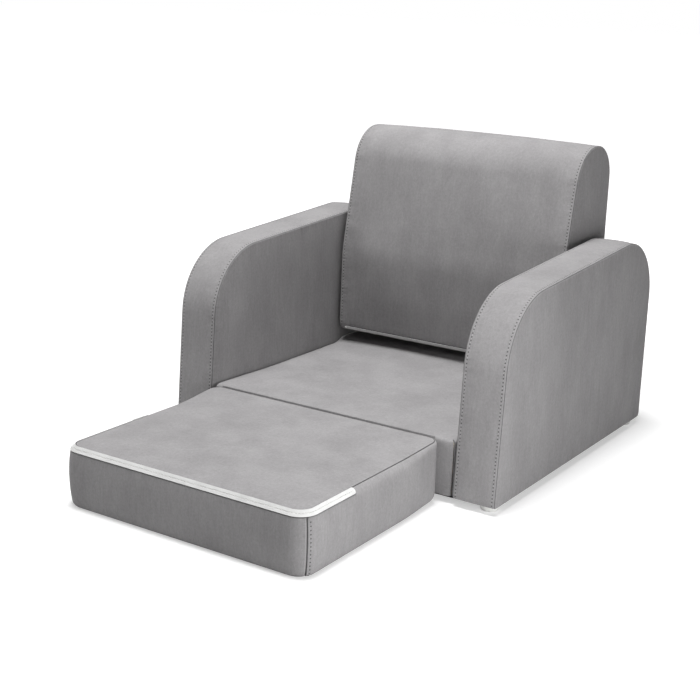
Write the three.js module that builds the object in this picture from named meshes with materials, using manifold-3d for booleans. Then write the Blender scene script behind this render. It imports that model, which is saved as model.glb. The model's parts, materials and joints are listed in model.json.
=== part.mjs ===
import * as THREE from 'three';
import { mergeVertices } from 'three/addons/utils/BufferGeometryUtils.js';
import Module from 'manifold-3d';

// A small upholstered armchair for a child, whose seat folds out into a lounger.
// All sizes are in millimetres: X runs across the chair, Y from front to back, Z up.
// The model is built with Y = 0 at the front of the arms and is centred at the end.

const wasm = await Module();
wasm.setup();

// Whole chair
const width = 530;
const depth = 480;
const baseHeight = 9.5;
const clearance = 0.3;
const overrun = 5;
const leastRadius = 1;
const weldDistance = 0.001;
const seamGap = 0.3;
const coverThickness = 1.5;
const foamInset = coverThickness + clearance;
const roundSides = 12;

// Rings over the faces of every padded form, as shares of the way from the seam to the middle,
// and how strongly the crown of a face rises next to the seam.
const faceRingShares = [0.12, 0.45, 1];
const crownRise = 2.5;

// Arms
const armThickness = 66;
const armPanelCrown = 2;
const armBandCrown = 2;
const armFrontHeight = 273;
const armBackHeight = 300.5;
const armFrontLean = 18;
const armFrontRadius = 100;
const armBackRadius = 94;
const armFootRadius = 6;
const crownFade = 60;
const bandRingShares = [0, 0.12, 0.5, 0.88, 1];

// Inside each arm
const armBoardThickness = 15;
const armBoardInset = 20;
const battenWidth = 46;
const battenHeight = 18;
const battenInset = 8;

// Feet and their screws
const dustCoverThickness = 0.8;
const dustCoverInset = 7;
const footTopRadius = 14;
const footBottomRadius = 11;
const footFromSide = 20;
const footFromEnd = 22;
const footHollowRadius = 5;
const footHollowDepth = 4.5;
const screwRadius = 2;
const screwHeadRadius = 4;
const screwHeadHeight = 2.5;
const screwLength = 22;
const footSides = 20;

// Seat base
const seatHeight = 88;
const seatSideDrop = 5;
const seatFrontDrop = 1.5;
const seatEdgeRadius = 5;
const seatCornerRadius = 8;
const seatFront = 6;
const seatRearInset = 10;
const railThickness = 18;
const railHeight = 38;
const deckThickness = 9;
const edgeRise = 90;

// Folding footrest and its cloth hinge
const hingeStripThickness = 0.8;
const hingeStripHeight = 24;
const hingeStripInset = 12;
const footrestSideGap = 12;
const footrestShift = 6;
const footrestFoldGap = 6.4;
const footrestCrown = 3;
const footrestEdgeDrop = 6;
const footrestFrontRadius = 24;
const footrestRearRadius = 18;
const footrestBottomRadius = 8;
const footrestRearBottomRadius = 15;
const footrestSideSteps = 4;
const zipWidth = 9;
const zipSideSteps = 2;

// Backrest
const backSideGap = 8;
const backSideCrown = 5;
const backBandCrown = 3;
const backSeatGap = 16;
const backTop = 427;
const backThickness = 147;
const backBend = 235;
const backBendSetback = 2;
const backLean = 39;
const backRearInset = 18;
const backBottomRadius = 14;
const backBendRadius = 200;
const backTopFrontRadius = 60;
const backTopRearRadius = 50;
const backRingShares = [0, 0.03, 0.14, 0.5, 0.86, 0.97, 1];

// Frame inside the backrest
const stileThickness = 18;
const stileDepth = 40;
const stileSetback = 70;
const backBoardThickness = 12;
const backFrameBottomInset = 14;
const backFrameTopInset = 26;

// Bolts and tee nuts that hold the arms to the seat base and the backrest
const boltRadius = 3;
const boltHeadRadius = 6;
const boltHeadHeight = 4;
const boltTipInset = 1;
const baseBoltEdge = 10.5;
const baseBoltEndInset = 70;
const backBoltLowInset = 36;
const backBoltHighInset = 111;
const teeBarrelRadius = 4.25;
const teeBarrelLength = 9;
const teeFlangeRadius = 9.5;
const teeFlangeThickness = 1.5;

// Zip sliders
const sliderLength = 11;
const sliderWidth = 8;
const sliderThickness = 2.4;
const pullLength = 18;
const pullWidth = 5;
const pullThickness = 1;

// Places worked out from the sizes
const armCentre = width / 2 - armThickness / 2;
const armSeam = armThickness / 2 - armPanelCrown;
const armInnerFace = width / 2 - armThickness;
const seatHalfWidth = armInnerFace - clearance;
const seatRear = depth - seatRearInset;
const seatSideHeight = seatHeight - seatSideDrop;
const seatFrontHeight = seatHeight - seatFrontDrop;
const railTop = baseHeight + railHeight;
const deckBottom = railTop + clearance;
const deckTop = deckBottom + deckThickness;
const dustCoverTop = baseHeight - clearance;
const dustCoverBottom = dustCoverTop - dustCoverThickness;
const footHeight = dustCoverBottom - clearance;
const screwTop = footHollowDepth + screwLength;
const hingeStripFront = seatFront - clearance - hingeStripThickness;
const hingeY = hingeStripFront - clearance;
const backHalfWidth = armInnerFace - backSideGap;
const backRear = depth - backRearInset;
const backFront = backRear - backThickness;
const backBottom = seatHeight + backSeatGap;
const footrestHalfWidth = armInnerFace - footrestSideGap;
const footrestLeft = -footrestHalfWidth - footrestShift;
const footrestRight = footrestHalfWidth - footrestShift;
const footrestRear = hingeY;
const footrestLength = backFront - footrestFoldGap - hingeY;
const footrestFront = footrestRear - footrestLength;
const footrestEdgeHeight = seatHeight - footrestEdgeDrop;
const stileFront = backFront + stileSetback;
const stileRear = stileFront + stileDepth;
const backBoltDepth = stileFront + stileDepth / 2;
const backBoltLow = backBottom + backBoltLowInset;
const backBoltHigh = backBottom + backBoltHighInset;
const frameBottom = backBottom + backFrameBottomInset;
const frameTop = backTop - backFrameTopInset;
const stileOuter = backHalfWidth - foamInset;
const stileInner = stileOuter - stileThickness;
const baseBoltHeight = baseHeight + battenHeight + baseBoltEdge;
const boardOuter = armCentre + armBoardThickness / 2;
const railOuter = seatHalfWidth - foamInset;
const railInner = railOuter - railThickness;

const fabricGrey = '#9c9a9b';
const fabricDark = '#6f6d6e';

const materials = {
  fabric: new THREE.MeshStandardMaterial({ color: fabricGrey, roughness: 0.95, metalness: 0 }),
  shadedFabric: new THREE.MeshStandardMaterial({ color: fabricDark, roughness: 0.95, metalness: 0 }),
  zipTape: new THREE.MeshStandardMaterial({ color: '#f2f1ee', roughness: 0.8, metalness: 0 }),
  foam: new THREE.MeshStandardMaterial({ color: '#efe6c2', roughness: 1, metalness: 0 }),
  plywood: new THREE.MeshStandardMaterial({ color: '#c8a878', roughness: 0.8, metalness: 0 }),
  pine: new THREE.MeshStandardMaterial({ color: '#dcc296', roughness: 0.8, metalness: 0 }),
  lining: new THREE.MeshStandardMaterial({ color: '#232325', roughness: 1, metalness: 0 }),
  plastic: new THREE.MeshStandardMaterial({ color: '#e9e9e6', roughness: 0.45, metalness: 0 }),
  steel: new THREE.MeshStandardMaterial({ color: '#b9bcc0', roughness: 0.35, metalness: 1 }),
};

const chair = new THREE.Group();

function addPart(name, geometry, material) {
  const shown = geometry.index ? geometry.toNonIndexed() : geometry;
  shown.deleteAttribute('normal');
  shown.computeVertexNormals();
  const mesh = new THREE.Mesh(shown, material);
  mesh.name = name;
  chair.add(mesh);
}

// Solids

function toSolid(geometry) {
  const bare = geometry.clone();
  bare.deleteAttribute('normal');
  bare.deleteAttribute('uv');
  const merged = mergeVertices(bare, weldDistance);
  const mesh = new wasm.Mesh({
    numProp: 3,
    vertProperties: Float32Array.from(merged.attributes.position.array),
    triVerts: Uint32Array.from(merged.index.array),
  });
  return new wasm.Manifold(mesh);
}

function toGeometry(solid) {
  const mesh = solid.getMesh();
  const geometry = new THREE.BufferGeometry();
  geometry.setAttribute('position', new THREE.BufferAttribute(mesh.vertProperties, 3));
  geometry.setIndex(new THREE.BufferAttribute(mesh.triVerts, 1));
  return geometry;
}

function subtract(geometry, cutters) {
  let solid = toSolid(geometry);
  for (const cutter of cutters) {
    solid = solid.subtract(toSolid(cutter));
  }
  return toGeometry(solid);
}

function intersect(geometry, other) {
  return toGeometry(toSolid(geometry).intersect(toSolid(other)));
}

function join(geometry, other) {
  return toGeometry(toSolid(geometry).add(toSolid(other)));
}

function box(low, high) {
  const size = new THREE.Vector3(...high).sub(new THREE.Vector3(...low));
  const middle = new THREE.Vector3(...high).add(new THREE.Vector3(...low)).multiplyScalar(1 / 2);
  const geometry = new THREE.BoxGeometry(size.x, size.y, size.z);
  return geometry.translate(middle.x, middle.y, middle.z);
}

// A box given by its near and far X on the side that sign names, for pieces that come in pairs.
function sideBox(sign, near, far, low, high) {
  const [left, right] = [sign * near, sign * far].sort((a, b) => a - b);
  return box([left, ...low], [right, ...high]);
}

// A round rod along X between near and far on the side that sign names.
function sideRod(sign, radius, near, far, y, z) {
  const geometry = new THREE.CylinderGeometry(radius, radius, far - near, roundSides);
  geometry.rotateZ(Math.PI / 2);
  return geometry.translate((sign * (near + far)) / 2, y, z);
}

function uprightRod(radius, low, high, x, y) {
  const geometry = new THREE.CylinderGeometry(radius, radius, high - low, roundSides);
  geometry.rotateX(Math.PI / 2);
  return geometry.translate(x, y, (low + high) / 2);
}

// A turned piece: the profile lists radius and distance along the axis, and starts and ends on the axis
// or closes on itself.
function turned(profile, sides) {
  const points = profile.map(([radius, along]) => new THREE.Vector2(radius, along));
  return new THREE.LatheGeometry(points, sides);
}

// Outlines: a corner is a point with a radius, the steps of its arc and the steps of the edge after it.

function corner(a, b, radius, arcSteps, edgeSteps, fixedEdge = false) {
  return { at: new THREE.Vector2(a, b), radius, arcSteps, edgeSteps, fixedEdge };
}

// Moves each edge of a counterclockwise outline inwards, apart from the fixed ones.
function insetCorners(corners, distance) {
  const count = corners.length;
  const edges = corners.map((here, i) => {
    const along = corners[(i + 1) % count].at.clone().sub(here.at).normalize();
    const inward = new THREE.Vector2(-along.y, along.x);
    const start = here.at.clone().addScaledVector(inward, here.fixedEdge ? 0 : distance);
    return { start, along };
  });
  return corners.map((here, i) => {
    const before = edges[(i + count - 1) % count];
    const after = edges[i];
    const between = after.start.clone().sub(before.start);
    const reach = between.cross(after.along) / before.along.cross(after.along);
    const at = before.start.clone().addScaledVector(before.along, reach);
    return { ...here, at, radius: Math.max(here.radius - distance, leastRadius) };
  });
}

// Points of an outline with round corners. Each point says which corner it follows, whether the stretch
// after it is part of the arc or of the edge, and its step there.
function roundedOutline(corners) {
  const count = corners.length;
  const points = [];
  const arcs = corners.map((here, i) => {
    const before = here.at.clone().sub(corners[(i + count - 1) % count].at).normalize();
    const after = corners[(i + 1) % count].at.clone().sub(here.at).normalize();
    const turn = Math.atan2(before.cross(after), before.dot(after));
    const tangent = here.radius * Math.tan(turn / 2);
    const start = here.at.clone().addScaledVector(before, -tangent);
    const normal = new THREE.Vector2(-before.y, before.x);
    const centre = start.clone().addScaledVector(normal, here.radius);
    const arc = [];
    for (let step = 0; step <= here.arcSteps; step += 1) {
      const angle = (turn * step) / here.arcSteps;
      arc.push(start.clone().rotateAround(centre, angle));
    }
    return arc;
  });
  arcs.forEach((arc, i) => {
    const here = corners[i];
    arc.slice(0, -1).forEach((at, step) => points.push({ at, corner: i, part: 'arc', step }));
    const from = arc[arc.length - 1];
    const to = arcs[(i + 1) % count][0];
    for (let step = 0; step < here.edgeSteps; step += 1) {
      points.push({ at: from.clone().lerp(to, step / here.edgeSteps), corner: i, part: 'edge', step });
    }
  });
  points.forEach((point, i) => {
    const previous = points[(i + points.length - 1) % points.length].at;
    const next = points[(i + 1) % points.length].at;
    const along = next.clone().sub(previous).normalize();
    point.outward = new THREE.Vector2(along.y, -along.x);
  });
  return points;
}

// A padded form has an outline, rows across its edge band and two crowned faces. The grid holds rings of
// points from the middle of the low face, over the band, to the middle of the high face. Rows follow the
// outline before its inset, so that the layers of one form stay parallel.
function formGrid(form, inset) {
  const outline = roundedOutline(insetCorners(form.corners, inset));
  const band = roundedOutline(form.corners).map((point) => form.rows(point, inset));
  const rowCount = band[0].length;
  const rings = [];
  const faceRing = (row, middleHeight, share) =>
    outline.map((point, i) => {
      const edge = band[i][row];
      const flat = point.at.clone().addScaledVector(point.outward, edge.out);
      const rise = 1 - (1 - share) ** crownRise;
      const spot = flat.lerp(form.middle, share);
      return form.place(spot.x, spot.y, THREE.MathUtils.lerp(edge.height, middleHeight, rise));
    });
  for (const share of [...faceRingShares].reverse()) {
    rings.push(faceRing(0, form.low + inset * form.lowInsetShare, share));
  }
  for (let row = 0; row < rowCount; row += 1) {
    rings.push(faceRing(row, form.low, 0));
  }
  for (const share of faceRingShares) {
    rings.push(faceRing(rowCount - 1, form.high - inset, share));
  }
  const firstBand = faceRingShares.length;
  return { rings, outline, firstBand, lastBand: firstBand + rowCount - 2 };
}

function triangleList() {
  const corners = [];
  const add = (a, b, c) => {
    const least = Math.min(a.distanceTo(b), b.distanceTo(c), c.distanceTo(a));
    if (least > weldDistance) {
      corners.push(a, b, c);
    }
  };
  const quad = (a, b, c, d) => {
    add(a, b, c);
    add(a, c, d);
  };
  const geometry = () => {
    const volume = corners.reduce((sum, a, i) => {
      return i % 3 ? sum : sum + a.dot(corners[i + 1].clone().cross(corners[i + 2]));
    }, 0);
    const flipped = volume < 0;
    const ordered = corners.map((a, i) => (flipped && i % 3 ? corners[i % 3 === 1 ? i + 1 : i - 1] : a));
    return new THREE.BufferGeometry().setFromPoints(ordered);
  };
  return { quad, geometry };
}

// The whole form as one closed solid.
function formSolid(form, inset) {
  const { rings } = formGrid(form, inset);
  const list = triangleList();
  for (let j = 0; j + 1 < rings.length; j += 1) {
    rings[j].forEach((here, i) => {
      const next = (i + 1) % rings[j].length;
      list.quad(here, rings[j][next], rings[j + 1][next], rings[j + 1][i]);
    });
  }
  return list.geometry();
}

// A cloth panel over part of a form: covers(row, point) tells which cells of the grid it holds. Its free
// edges draw back from the seam by half the seam gap.
function clothPanel(form, covers) {
  const outer = formGrid(form, 0);
  const inner = formGrid(form, coverThickness);
  const count = outer.outline.length;
  const cellRows = outer.rings.length - 1;
  const wrap = (i) => (i + count) % count;
  const held = (j, i) => j >= 0 && j < cellRows && covers(j, outer.outline[wrap(i)], outer);
  const pulled = (grid, j, i) => {
    const here = grid.rings[j][wrap(i)];
    const moved = here.clone();
    const cells = { up: [held(j, i - 1), held(j, i)], down: [held(j - 1, i - 1), held(j - 1, i)] };
    const single = [...cells.up, ...cells.down].filter(Boolean).length === 3;
    const lost = (a, b) => (single ? !a || !b : !a && !b);
    const pull = (target) => {
      const way = target.clone().sub(here);
      if (way.length() > seamGap) {
        moved.addScaledVector(way.normalize(), seamGap / 2);
      }
    };
    if (j > 0 && j < cellRows) {
      if (lost(...cells.up)) pull(grid.rings[j - 1][wrap(i)]);
      if (lost(...cells.down)) pull(grid.rings[j + 1][wrap(i)]);
    }
    if (lost(cells.up[0], cells.down[0])) pull(grid.rings[j][wrap(i + 1)]);
    if (lost(cells.up[1], cells.down[1])) pull(grid.rings[j][wrap(i - 1)]);
    return moved;
  };
  const list = triangleList();
  for (let j = 0; j < cellRows; j += 1) {
    for (let i = 0; i < count; i += 1) {
      if (!held(j, i)) continue;
      const ring = [[j, i], [j, i + 1], [j + 1, i + 1], [j + 1, i]];
      const out = ring.map(([row, point]) => pulled(outer, row, point));
      const back = ring.map(([row, point]) => pulled(inner, row, point));
      list.quad(...out);
      list.quad(back[0], back[3], back[2], back[1]);
      const sides = [held(j - 1, i), held(j, i + 1), held(j + 1, i), held(j, i - 1)];
      sides.forEach((joined, side) => {
        const next = (side + 1) % sides.length;
        if (!joined && out[side].distanceTo(out[next]) > weldDistance) {
          list.quad(out[side], back[side], back[next], out[next]);
        }
      });
    }
  }
  return list.geometry();
}

const isLowFace = (row, grid) => row < grid.firstBand;
const isHighFace = (row, grid) => row > grid.lastBand;
const isBand = (row, grid) => !isLowFace(row, grid) && !isHighFace(row, grid);

// How far a band swells between its seams, from none at a seam to one in the middle.
const swell = (share) => 1 - Math.abs(2 * share - 1) ** crownRise;

// Bolts run along X through these places, which every piece on their way is bored for.
const baseBolts = [baseBoltEndInset, depth - baseBoltEndInset].map((y) => ({
  y,
  z: baseBoltHeight,
  near: railInner,
}));
const backBolts = [backBoltLow, backBoltHigh].map((z) => ({ y: backBoltDepth, z, near: stileInner }));
const allBolts = [...baseBolts, ...backBolts];

function boltBores(sign, bolts) {
  return bolts.map((bolt) =>
    sideRod(sign, boltRadius + clearance, bolt.near - overrun, boardOuter, bolt.y, bolt.z),
  );
}

// Arm, with its low face towards the seat

const armCorners = [
  corner(0, baseHeight, armFootRadius, 2, 3, true),
  corner(depth, baseHeight, armFootRadius, 2, 1),
  corner(depth, armBackHeight, armBackRadius, 7, 2),
  corner(armFrontLean, armFrontHeight, armFrontRadius, 6, 1),
];

function armForm(sign) {
  const rows = (point, inset) => {
    const fade = THREE.MathUtils.smoothstep(point.at.y, baseHeight, baseHeight + crownFade);
    const half = armSeam - inset;
    return bandRingShares.map((share) => ({
      height: THREE.MathUtils.lerp(-half, half, share),
      out: armBandCrown * fade * swell(share),
    }));
  };
  return {
    corners: armCorners,
    middle: new THREE.Vector2(depth / 2, armFrontHeight / 2),
    rows,
    low: -armThickness / 2,
    lowInsetShare: 1,
    high: armThickness / 2,
    place: (a, b, height) => new THREE.Vector3(sign * (armCentre + height), a, b),
  };
}

// Outline of the arm board, or of the slot round it where room is given.
function armBoardShape(room) {
  const corners = insetCorners(armCorners, armBoardInset - room);
  const raised = baseHeight + battenHeight + clearance - room;
  const points = roundedOutline(corners).map(({ at }) => new THREE.Vector2(at.x, Math.max(at.y, raised)));
  return new THREE.Shape(points);
}

function extrudeAcross(sign, shape, near, far) {
  const geometry = new THREE.ExtrudeGeometry(shape, { depth: far - near, bevelEnabled: false });
  const across = new THREE.Vector3(1, 0, 0);
  const back = new THREE.Vector3(0, 1, 0);
  const up = new THREE.Vector3(0, 0, 1);
  geometry.applyMatrix4(new THREE.Matrix4().makeBasis(back, up, across));
  const start = sign > 0 ? near : -far;
  return geometry.translate(start, 0, 0);
}

const battenSpan = { near: armCentre - battenWidth / 2, far: armCentre + battenWidth / 2 };

function battenBox(sign, room) {
  const low = [battenInset - room, baseHeight - (room > 0 ? overrun : 0)];
  const high = [depth - battenInset + room, baseHeight + battenHeight + room];
  return sideBox(sign, battenSpan.near - room, battenSpan.far + room, low, high);
}

const footPlaces = (sign) =>
  [footFromEnd, depth - footFromEnd].map((y) => ({ x: sign * (width / 2 - footFromSide), y }));

function makeArm(side, sign) {
  const form = armForm(sign);
  const halfBoard = armBoardThickness / 2;
  const boardBores = allBolts.map((bolt) =>
    sideRod(
      sign,
      teeBarrelRadius + clearance,
      boardOuter - armBoardThickness - overrun,
      boardOuter + overrun,
      bolt.y,
      bolt.z,
    ),
  );
  const board = extrudeAcross(sign, armBoardShape(0), armCentre - halfBoard, boardOuter);
  addPart(`arm_${side}_board`, subtract(board, boardBores), materials.plywood);

  const pilotHoles = footPlaces(sign).map(({ x, y }) =>
    uprightRod(screwRadius + clearance, baseHeight - overrun, screwTop + clearance, x, y),
  );
  addPart(`arm_${side}_batten`, subtract(battenBox(sign, 0), pilotHoles), materials.pine);

  const slot = extrudeAcross(
    sign,
    armBoardShape(clearance),
    armCentre - halfBoard - clearance,
    boardOuter + clearance,
  );
  const nutPockets = allBolts.map((bolt) =>
    sideRod(
      sign,
      teeFlangeRadius + clearance,
      boardOuter,
      boardOuter + teeFlangeThickness + 2 * clearance,
      bolt.y,
      bolt.z,
    ),
  );
  const hollow = [battenBox(sign, clearance), slot, ...nutPockets, ...boltBores(sign, allBolts)];
  addPart(`arm_${side}_foam`, subtract(formSolid(form, foamInset), hollow), materials.foam);

  const innerPanel = clothPanel(form, (row, point, grid) => isLowFace(row, grid));
  addPart(
    `arm_${side}_cover_inner`,
    subtract(innerPanel, boltBores(sign, allBolts)),
    materials.shadedFabric,
  );
  const outerPanel = clothPanel(form, (row, point, grid) => isHighFace(row, grid));
  addPart(`arm_${side}_cover_outer`, outerPanel, materials.fabric);
  const underside = (point) => point.corner === 0 && point.part === 'edge';
  const band = clothPanel(form, (row, point, grid) => isBand(row, grid) && !underside(point));
  addPart(`arm_${side}_cover_band`, band, materials.fabric);
}

// Feet

function makeFeet(side, sign) {
  footPlaces(sign).forEach(({ x, y }, i) => {
    const end = i === 0 ? 'front' : 'rear';
    const bore = screwRadius + clearance;
    const foot = turned(
      [
        [bore, footHollowDepth],
        [footHollowRadius, footHollowDepth],
        [footHollowRadius, 0],
        [footBottomRadius, 0],
        [footTopRadius, footHeight],
        [bore, footHeight],
        [bore, footHollowDepth],
      ],
      footSides,
    );
    foot.rotateX(Math.PI / 2);
    foot.translate(x, y, 0);
    addPart(`foot_${end}_${side}`, foot, materials.plastic);

    const headTop = footHollowDepth - clearance;
    const screw = turned(
      [
        [0, headTop - screwHeadHeight],
        [screwHeadRadius, headTop - screwHeadHeight],
        [screwHeadRadius, headTop],
        [screwRadius, headTop],
        [screwRadius, screwTop - screwRadius],
        [0, screwTop],
      ],
      roundSides,
    );
    screw.rotateX(Math.PI / 2);
    screw.translate(x, y, 0);
    addPart(`foot_screw_${end}_${side}`, screw, materials.steel);
  });
}

function makeDustCover() {
  const reach = width / 2 - dustCoverInset;
  const sheet = box(
    [-reach, dustCoverInset, dustCoverBottom],
    [reach, depth - dustCoverInset, dustCoverTop],
  );
  const holes = [-1, 1].flatMap(footPlaces).map(({ x, y }) =>
    uprightRod(screwRadius + clearance, dustCoverBottom - overrun, dustCoverTop + overrun, x, y),
  );
  addPart('dust_cover', subtract(sheet, holes), materials.lining);
}

// Seat base

const seatForm = {
  corners: [
    corner(-seatHalfWidth, seatFront, seatCornerRadius, 2, 3),
    corner(seatHalfWidth, seatFront, seatCornerRadius, 2, 3),
    corner(seatHalfWidth, seatRear, seatCornerRadius, 2, 3),
    corner(-seatHalfWidth, seatRear, seatCornerRadius, 2, 3),
  ],
  middle: new THREE.Vector2(0, (seatFront + seatRear) / 2),
  rows: (point, inset) => {
    const toFront = 1 - THREE.MathUtils.smoothstep(point.at.y, seatFront, seatFront + edgeRise);
    const top = THREE.MathUtils.lerp(seatSideHeight, seatFrontHeight, toFront) - inset;
    const radius = seatEdgeRadius - inset;
    const eased = radius * (1 - Math.SQRT1_2);
    return [
      { height: baseHeight, out: 0 },
      { height: top - radius, out: 0 },
      { height: top - eased, out: -eased },
      { height: top, out: -radius },
    ];
  },
  low: baseHeight,
  lowInsetShare: 0,
  high: seatHeight,
  place: (a, b, height) => new THREE.Vector3(a, b, height),
};

function makeSeat() {
  const inside = formSolid(seatForm, foamInset);
  const rearInner = seatRear - foamInset - railThickness;
  const frontInner = seatFront + foamInset + railThickness;
  const railAt = (low, high) => intersect(inside, box([...low, baseHeight], [...high, railTop]));
  addPart(
    'base_rail_front',
    railAt([-seatHalfWidth, seatFront], [seatHalfWidth, frontInner]),
    materials.pine,
  );
  addPart('base_rail_rear', railAt([-seatHalfWidth, rearInner], [seatHalfWidth, seatRear]), materials.pine);
  for (const [side, sign] of sides) {
    const span = sideBox(
      sign,
      railInner,
      railOuter,
      [frontInner + clearance, baseHeight],
      [rearInner - clearance, railTop],
    );
    addPart(`base_rail_${side}`, subtract(span, boltBores(sign, baseBolts)), materials.pine);
  }
  const layer = (bottom, top) =>
    intersect(inside, box([-seatHalfWidth, seatFront, bottom], [seatHalfWidth, seatRear, top]));
  addPart('seat_deck', layer(deckBottom, deckTop), materials.plywood);
  addPart('seat_foam', layer(deckTop + clearance, seatHeight), materials.foam);
  const cover = clothPanel(seatForm, (row, point, grid) => !isLowFace(row, grid));
  const bores = [-1, 1].flatMap((sign) => boltBores(sign, baseBolts));
  addPart('seat_cover', subtract(cover, bores), materials.fabric);
}

// Footrest

const footrestCornerNames = ['frontLeft', 'frontRight', 'rearRight', 'rearLeft'];

const footrestForm = {
  corners: [
    corner(footrestLeft, footrestFront, footrestFrontRadius, 4, 3),
    corner(footrestRight, footrestFront, footrestFrontRadius, 4, footrestSideSteps),
    corner(footrestRight, footrestRear, footrestRearRadius, 2, 3),
    corner(footrestLeft, footrestRear, footrestRearRadius, 2, footrestSideSteps),
  ],
  middle: new THREE.Vector2(-footrestShift, (footrestFront + footrestRear) / 2),
  rows: (point, inset) => {
    const toRear = THREE.MathUtils.smoothstep(point.at.y, footrestRear - edgeRise, footrestRear);
    const top = THREE.MathUtils.lerp(footrestEdgeHeight, seatFrontHeight, toRear) - inset;
    const bottomRadius = THREE.MathUtils.lerp(footrestBottomRadius, footrestRearBottomRadius, toRear);
    const radius = bottomRadius - inset;
    const eased = radius * (1 - Math.SQRT1_2);
    const slope = zipWidth * Math.SQRT1_2 - inset * (Math.SQRT2 - 1);
    const zipSlope = THREE.MathUtils.lerp(slope, slope / 2, toRear);
    const crown = footrestCrown * (1 - toRear);
    const middle = (inset + radius + top - zipSlope) / 2;
    return [
      { height: inset, out: -radius },
      { height: inset + eased, out: -eased },
      { height: inset + radius, out: 0 },
      { height: middle, out: crown },
      { height: top - zipSlope, out: 0 },
      { height: top, out: -zipSlope },
    ];
  },
  low: 0,
  lowInsetShare: 1,
  high: seatHeight,
  place: (a, b, height) => new THREE.Vector3(a, b, height),
};

// The zip runs round the front: along the left side, both front corners and the start of the right side.
const zipFirstStep = footrestSideSteps - zipSideSteps;

function onFootrestZip(point) {
  const name = footrestCornerNames[point.corner];
  const onEdge = point.part === 'edge';
  const onFront = name === 'frontLeft' || (name === 'frontRight' && !onEdge);
  const onRight = name === 'frontRight' && onEdge && point.step === 0;
  const onLeft = name === 'rearLeft' && onEdge && point.step >= zipFirstStep;
  return onFront || onRight || onLeft;
}

function makeFootrest() {
  addPart('footrest_foam', formSolid(footrestForm, foamInset), materials.foam);
  const onZip = (row, point, grid) => row === grid.lastBand && onFootrestZip(point);
  const top = clothPanel(footrestForm, (row, point, grid) => isHighFace(row, grid));
  addPart('footrest_cover_top', top, materials.fabric);
  const boxing = clothPanel(
    footrestForm,
    (row, point, grid) => !isHighFace(row, grid) && !onZip(row, point, grid),
  );
  addPart('footrest_cover_boxing', boxing, materials.fabric);
  addPart('footrest_zip', clothPanel(footrestForm, onZip), materials.zipTape);

  const strip = box(
    [footrestLeft + hingeStripInset, hingeStripFront, seatFrontHeight - hingeStripHeight],
    [
      footrestRight - hingeStripInset,
      hingeStripFront + hingeStripThickness,
      seatFrontHeight - seatEdgeRadius / 2,
    ],
  );
  addPart('hinge_strip', strip, materials.shadedFabric);
}

// Backrest, with its low face on the left

const backLeanTop = backFront + backBendSetback + backLean;

const backForm = {
  corners: [
    corner(backFront, backBottom, backBottomRadius, 4, 2),
    corner(backRear, backBottom, backBottomRadius, 2, 2),
    corner(backRear, backTop, backTopRearRadius, 5, 1),
    corner(backLeanTop, backTop, backTopFrontRadius, 5, 1),
    corner(backFront + backBendSetback, backBend, backBendRadius, 1, 1),
  ],
  middle: new THREE.Vector2((backLeanTop + backRear) / 2, (backBottom + backTop) / 2),
  rows: (point, inset) => {
    const zipTop = backBottom + backBottomRadius;
    const fade = THREE.MathUtils.smoothstep(point.at.y, zipTop, zipTop + crownFade);
    const half = backHalfWidth - inset;
    return backRingShares.map((share) => ({
      height: THREE.MathUtils.lerp(-half, half, share),
      out: backBandCrown * fade * swell(share),
    }));
  },
  low: -backHalfWidth - backSideCrown,
  lowInsetShare: 1,
  high: backHalfWidth + backSideCrown,
  place: (a, b, height) => new THREE.Vector3(height, a, b),
};

const backZipSteps = 2;

function onBackZip(row, point, grid) {
  const onCorner = point.corner === 0 && point.part === 'arc' && point.step < backZipSteps;
  return onCorner && row > grid.firstBand && row < grid.lastBand;
}

function makeBackrest() {
  const boardFront = stileRear + clearance;
  const boardRear = boardFront + backBoardThickness;
  const boardAt = (room, bottom) =>
    box(
      [-stileOuter - room, boardFront - room, bottom],
      [stileOuter + room, boardRear + room, frameTop + room],
    );
  addPart('backrest_board', boardAt(0, frameBottom), materials.plywood);
  const stileAt = (sign, room, bottom) =>
    sideBox(
      sign,
      stileInner - room,
      stileOuter + room,
      [stileFront - room, bottom],
      [stileRear + room, frameTop + room],
    );
  for (const [side, sign] of sides) {
    const stile = subtract(stileAt(sign, 0, frameBottom), boltBores(sign, backBolts));
    addPart(`backrest_stile_${side}`, stile, materials.pine);
  }

  const underFoam = backBottom - overrun;
  const headPockets = (sign) =>
    backBolts.map(({ y, z, near }) =>
      sideRod(sign, boltHeadRadius + clearance, near - boltHeadHeight - 2 * clearance, near, y, z),
    );
  const hollow = [-1, 1].flatMap((sign) => [
    stileAt(sign, clearance, underFoam),
    ...headPockets(sign),
    ...boltBores(sign, backBolts),
  ]);
  hollow.push(boardAt(clearance, underFoam));
  addPart('backrest_foam', subtract(formSolid(backForm, foamInset), hollow), materials.foam);

  const band = clothPanel(
    backForm,
    (row, point, grid) => isBand(row, grid) && !onBackZip(row, point, grid),
  );
  addPart('backrest_cover_band', band, materials.fabric);
  addPart('backrest_zip', clothPanel(backForm, onBackZip), materials.zipTape);
  const faces = { left: isLowFace, right: isHighFace };
  for (const [side, sign] of sides) {
    const panel = clothPanel(backForm, (row, point, grid) => faces[side](row, grid));
    addPart(
      `backrest_cover_${side}`,
      subtract(panel, boltBores(sign, backBolts)),
      materials.shadedFabric,
    );
  }
}

// Bolts and tee nuts

function makeBolt(name, sign, { near, y, z }) {
  const head = near - clearance;
  const tip = boardOuter - boltTipInset;
  const bolt = turned(
    [
      [0, head - boltHeadHeight],
      [boltHeadRadius, head - boltHeadHeight],
      [boltHeadRadius, head],
      [boltRadius, head],
      [boltRadius, tip],
      [0, tip],
    ],
    roundSides,
  );
  bolt.rotateZ((-sign * Math.PI) / 2);
  bolt.translate(0, y, z);
  addPart(name, bolt, materials.steel);
}

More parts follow.
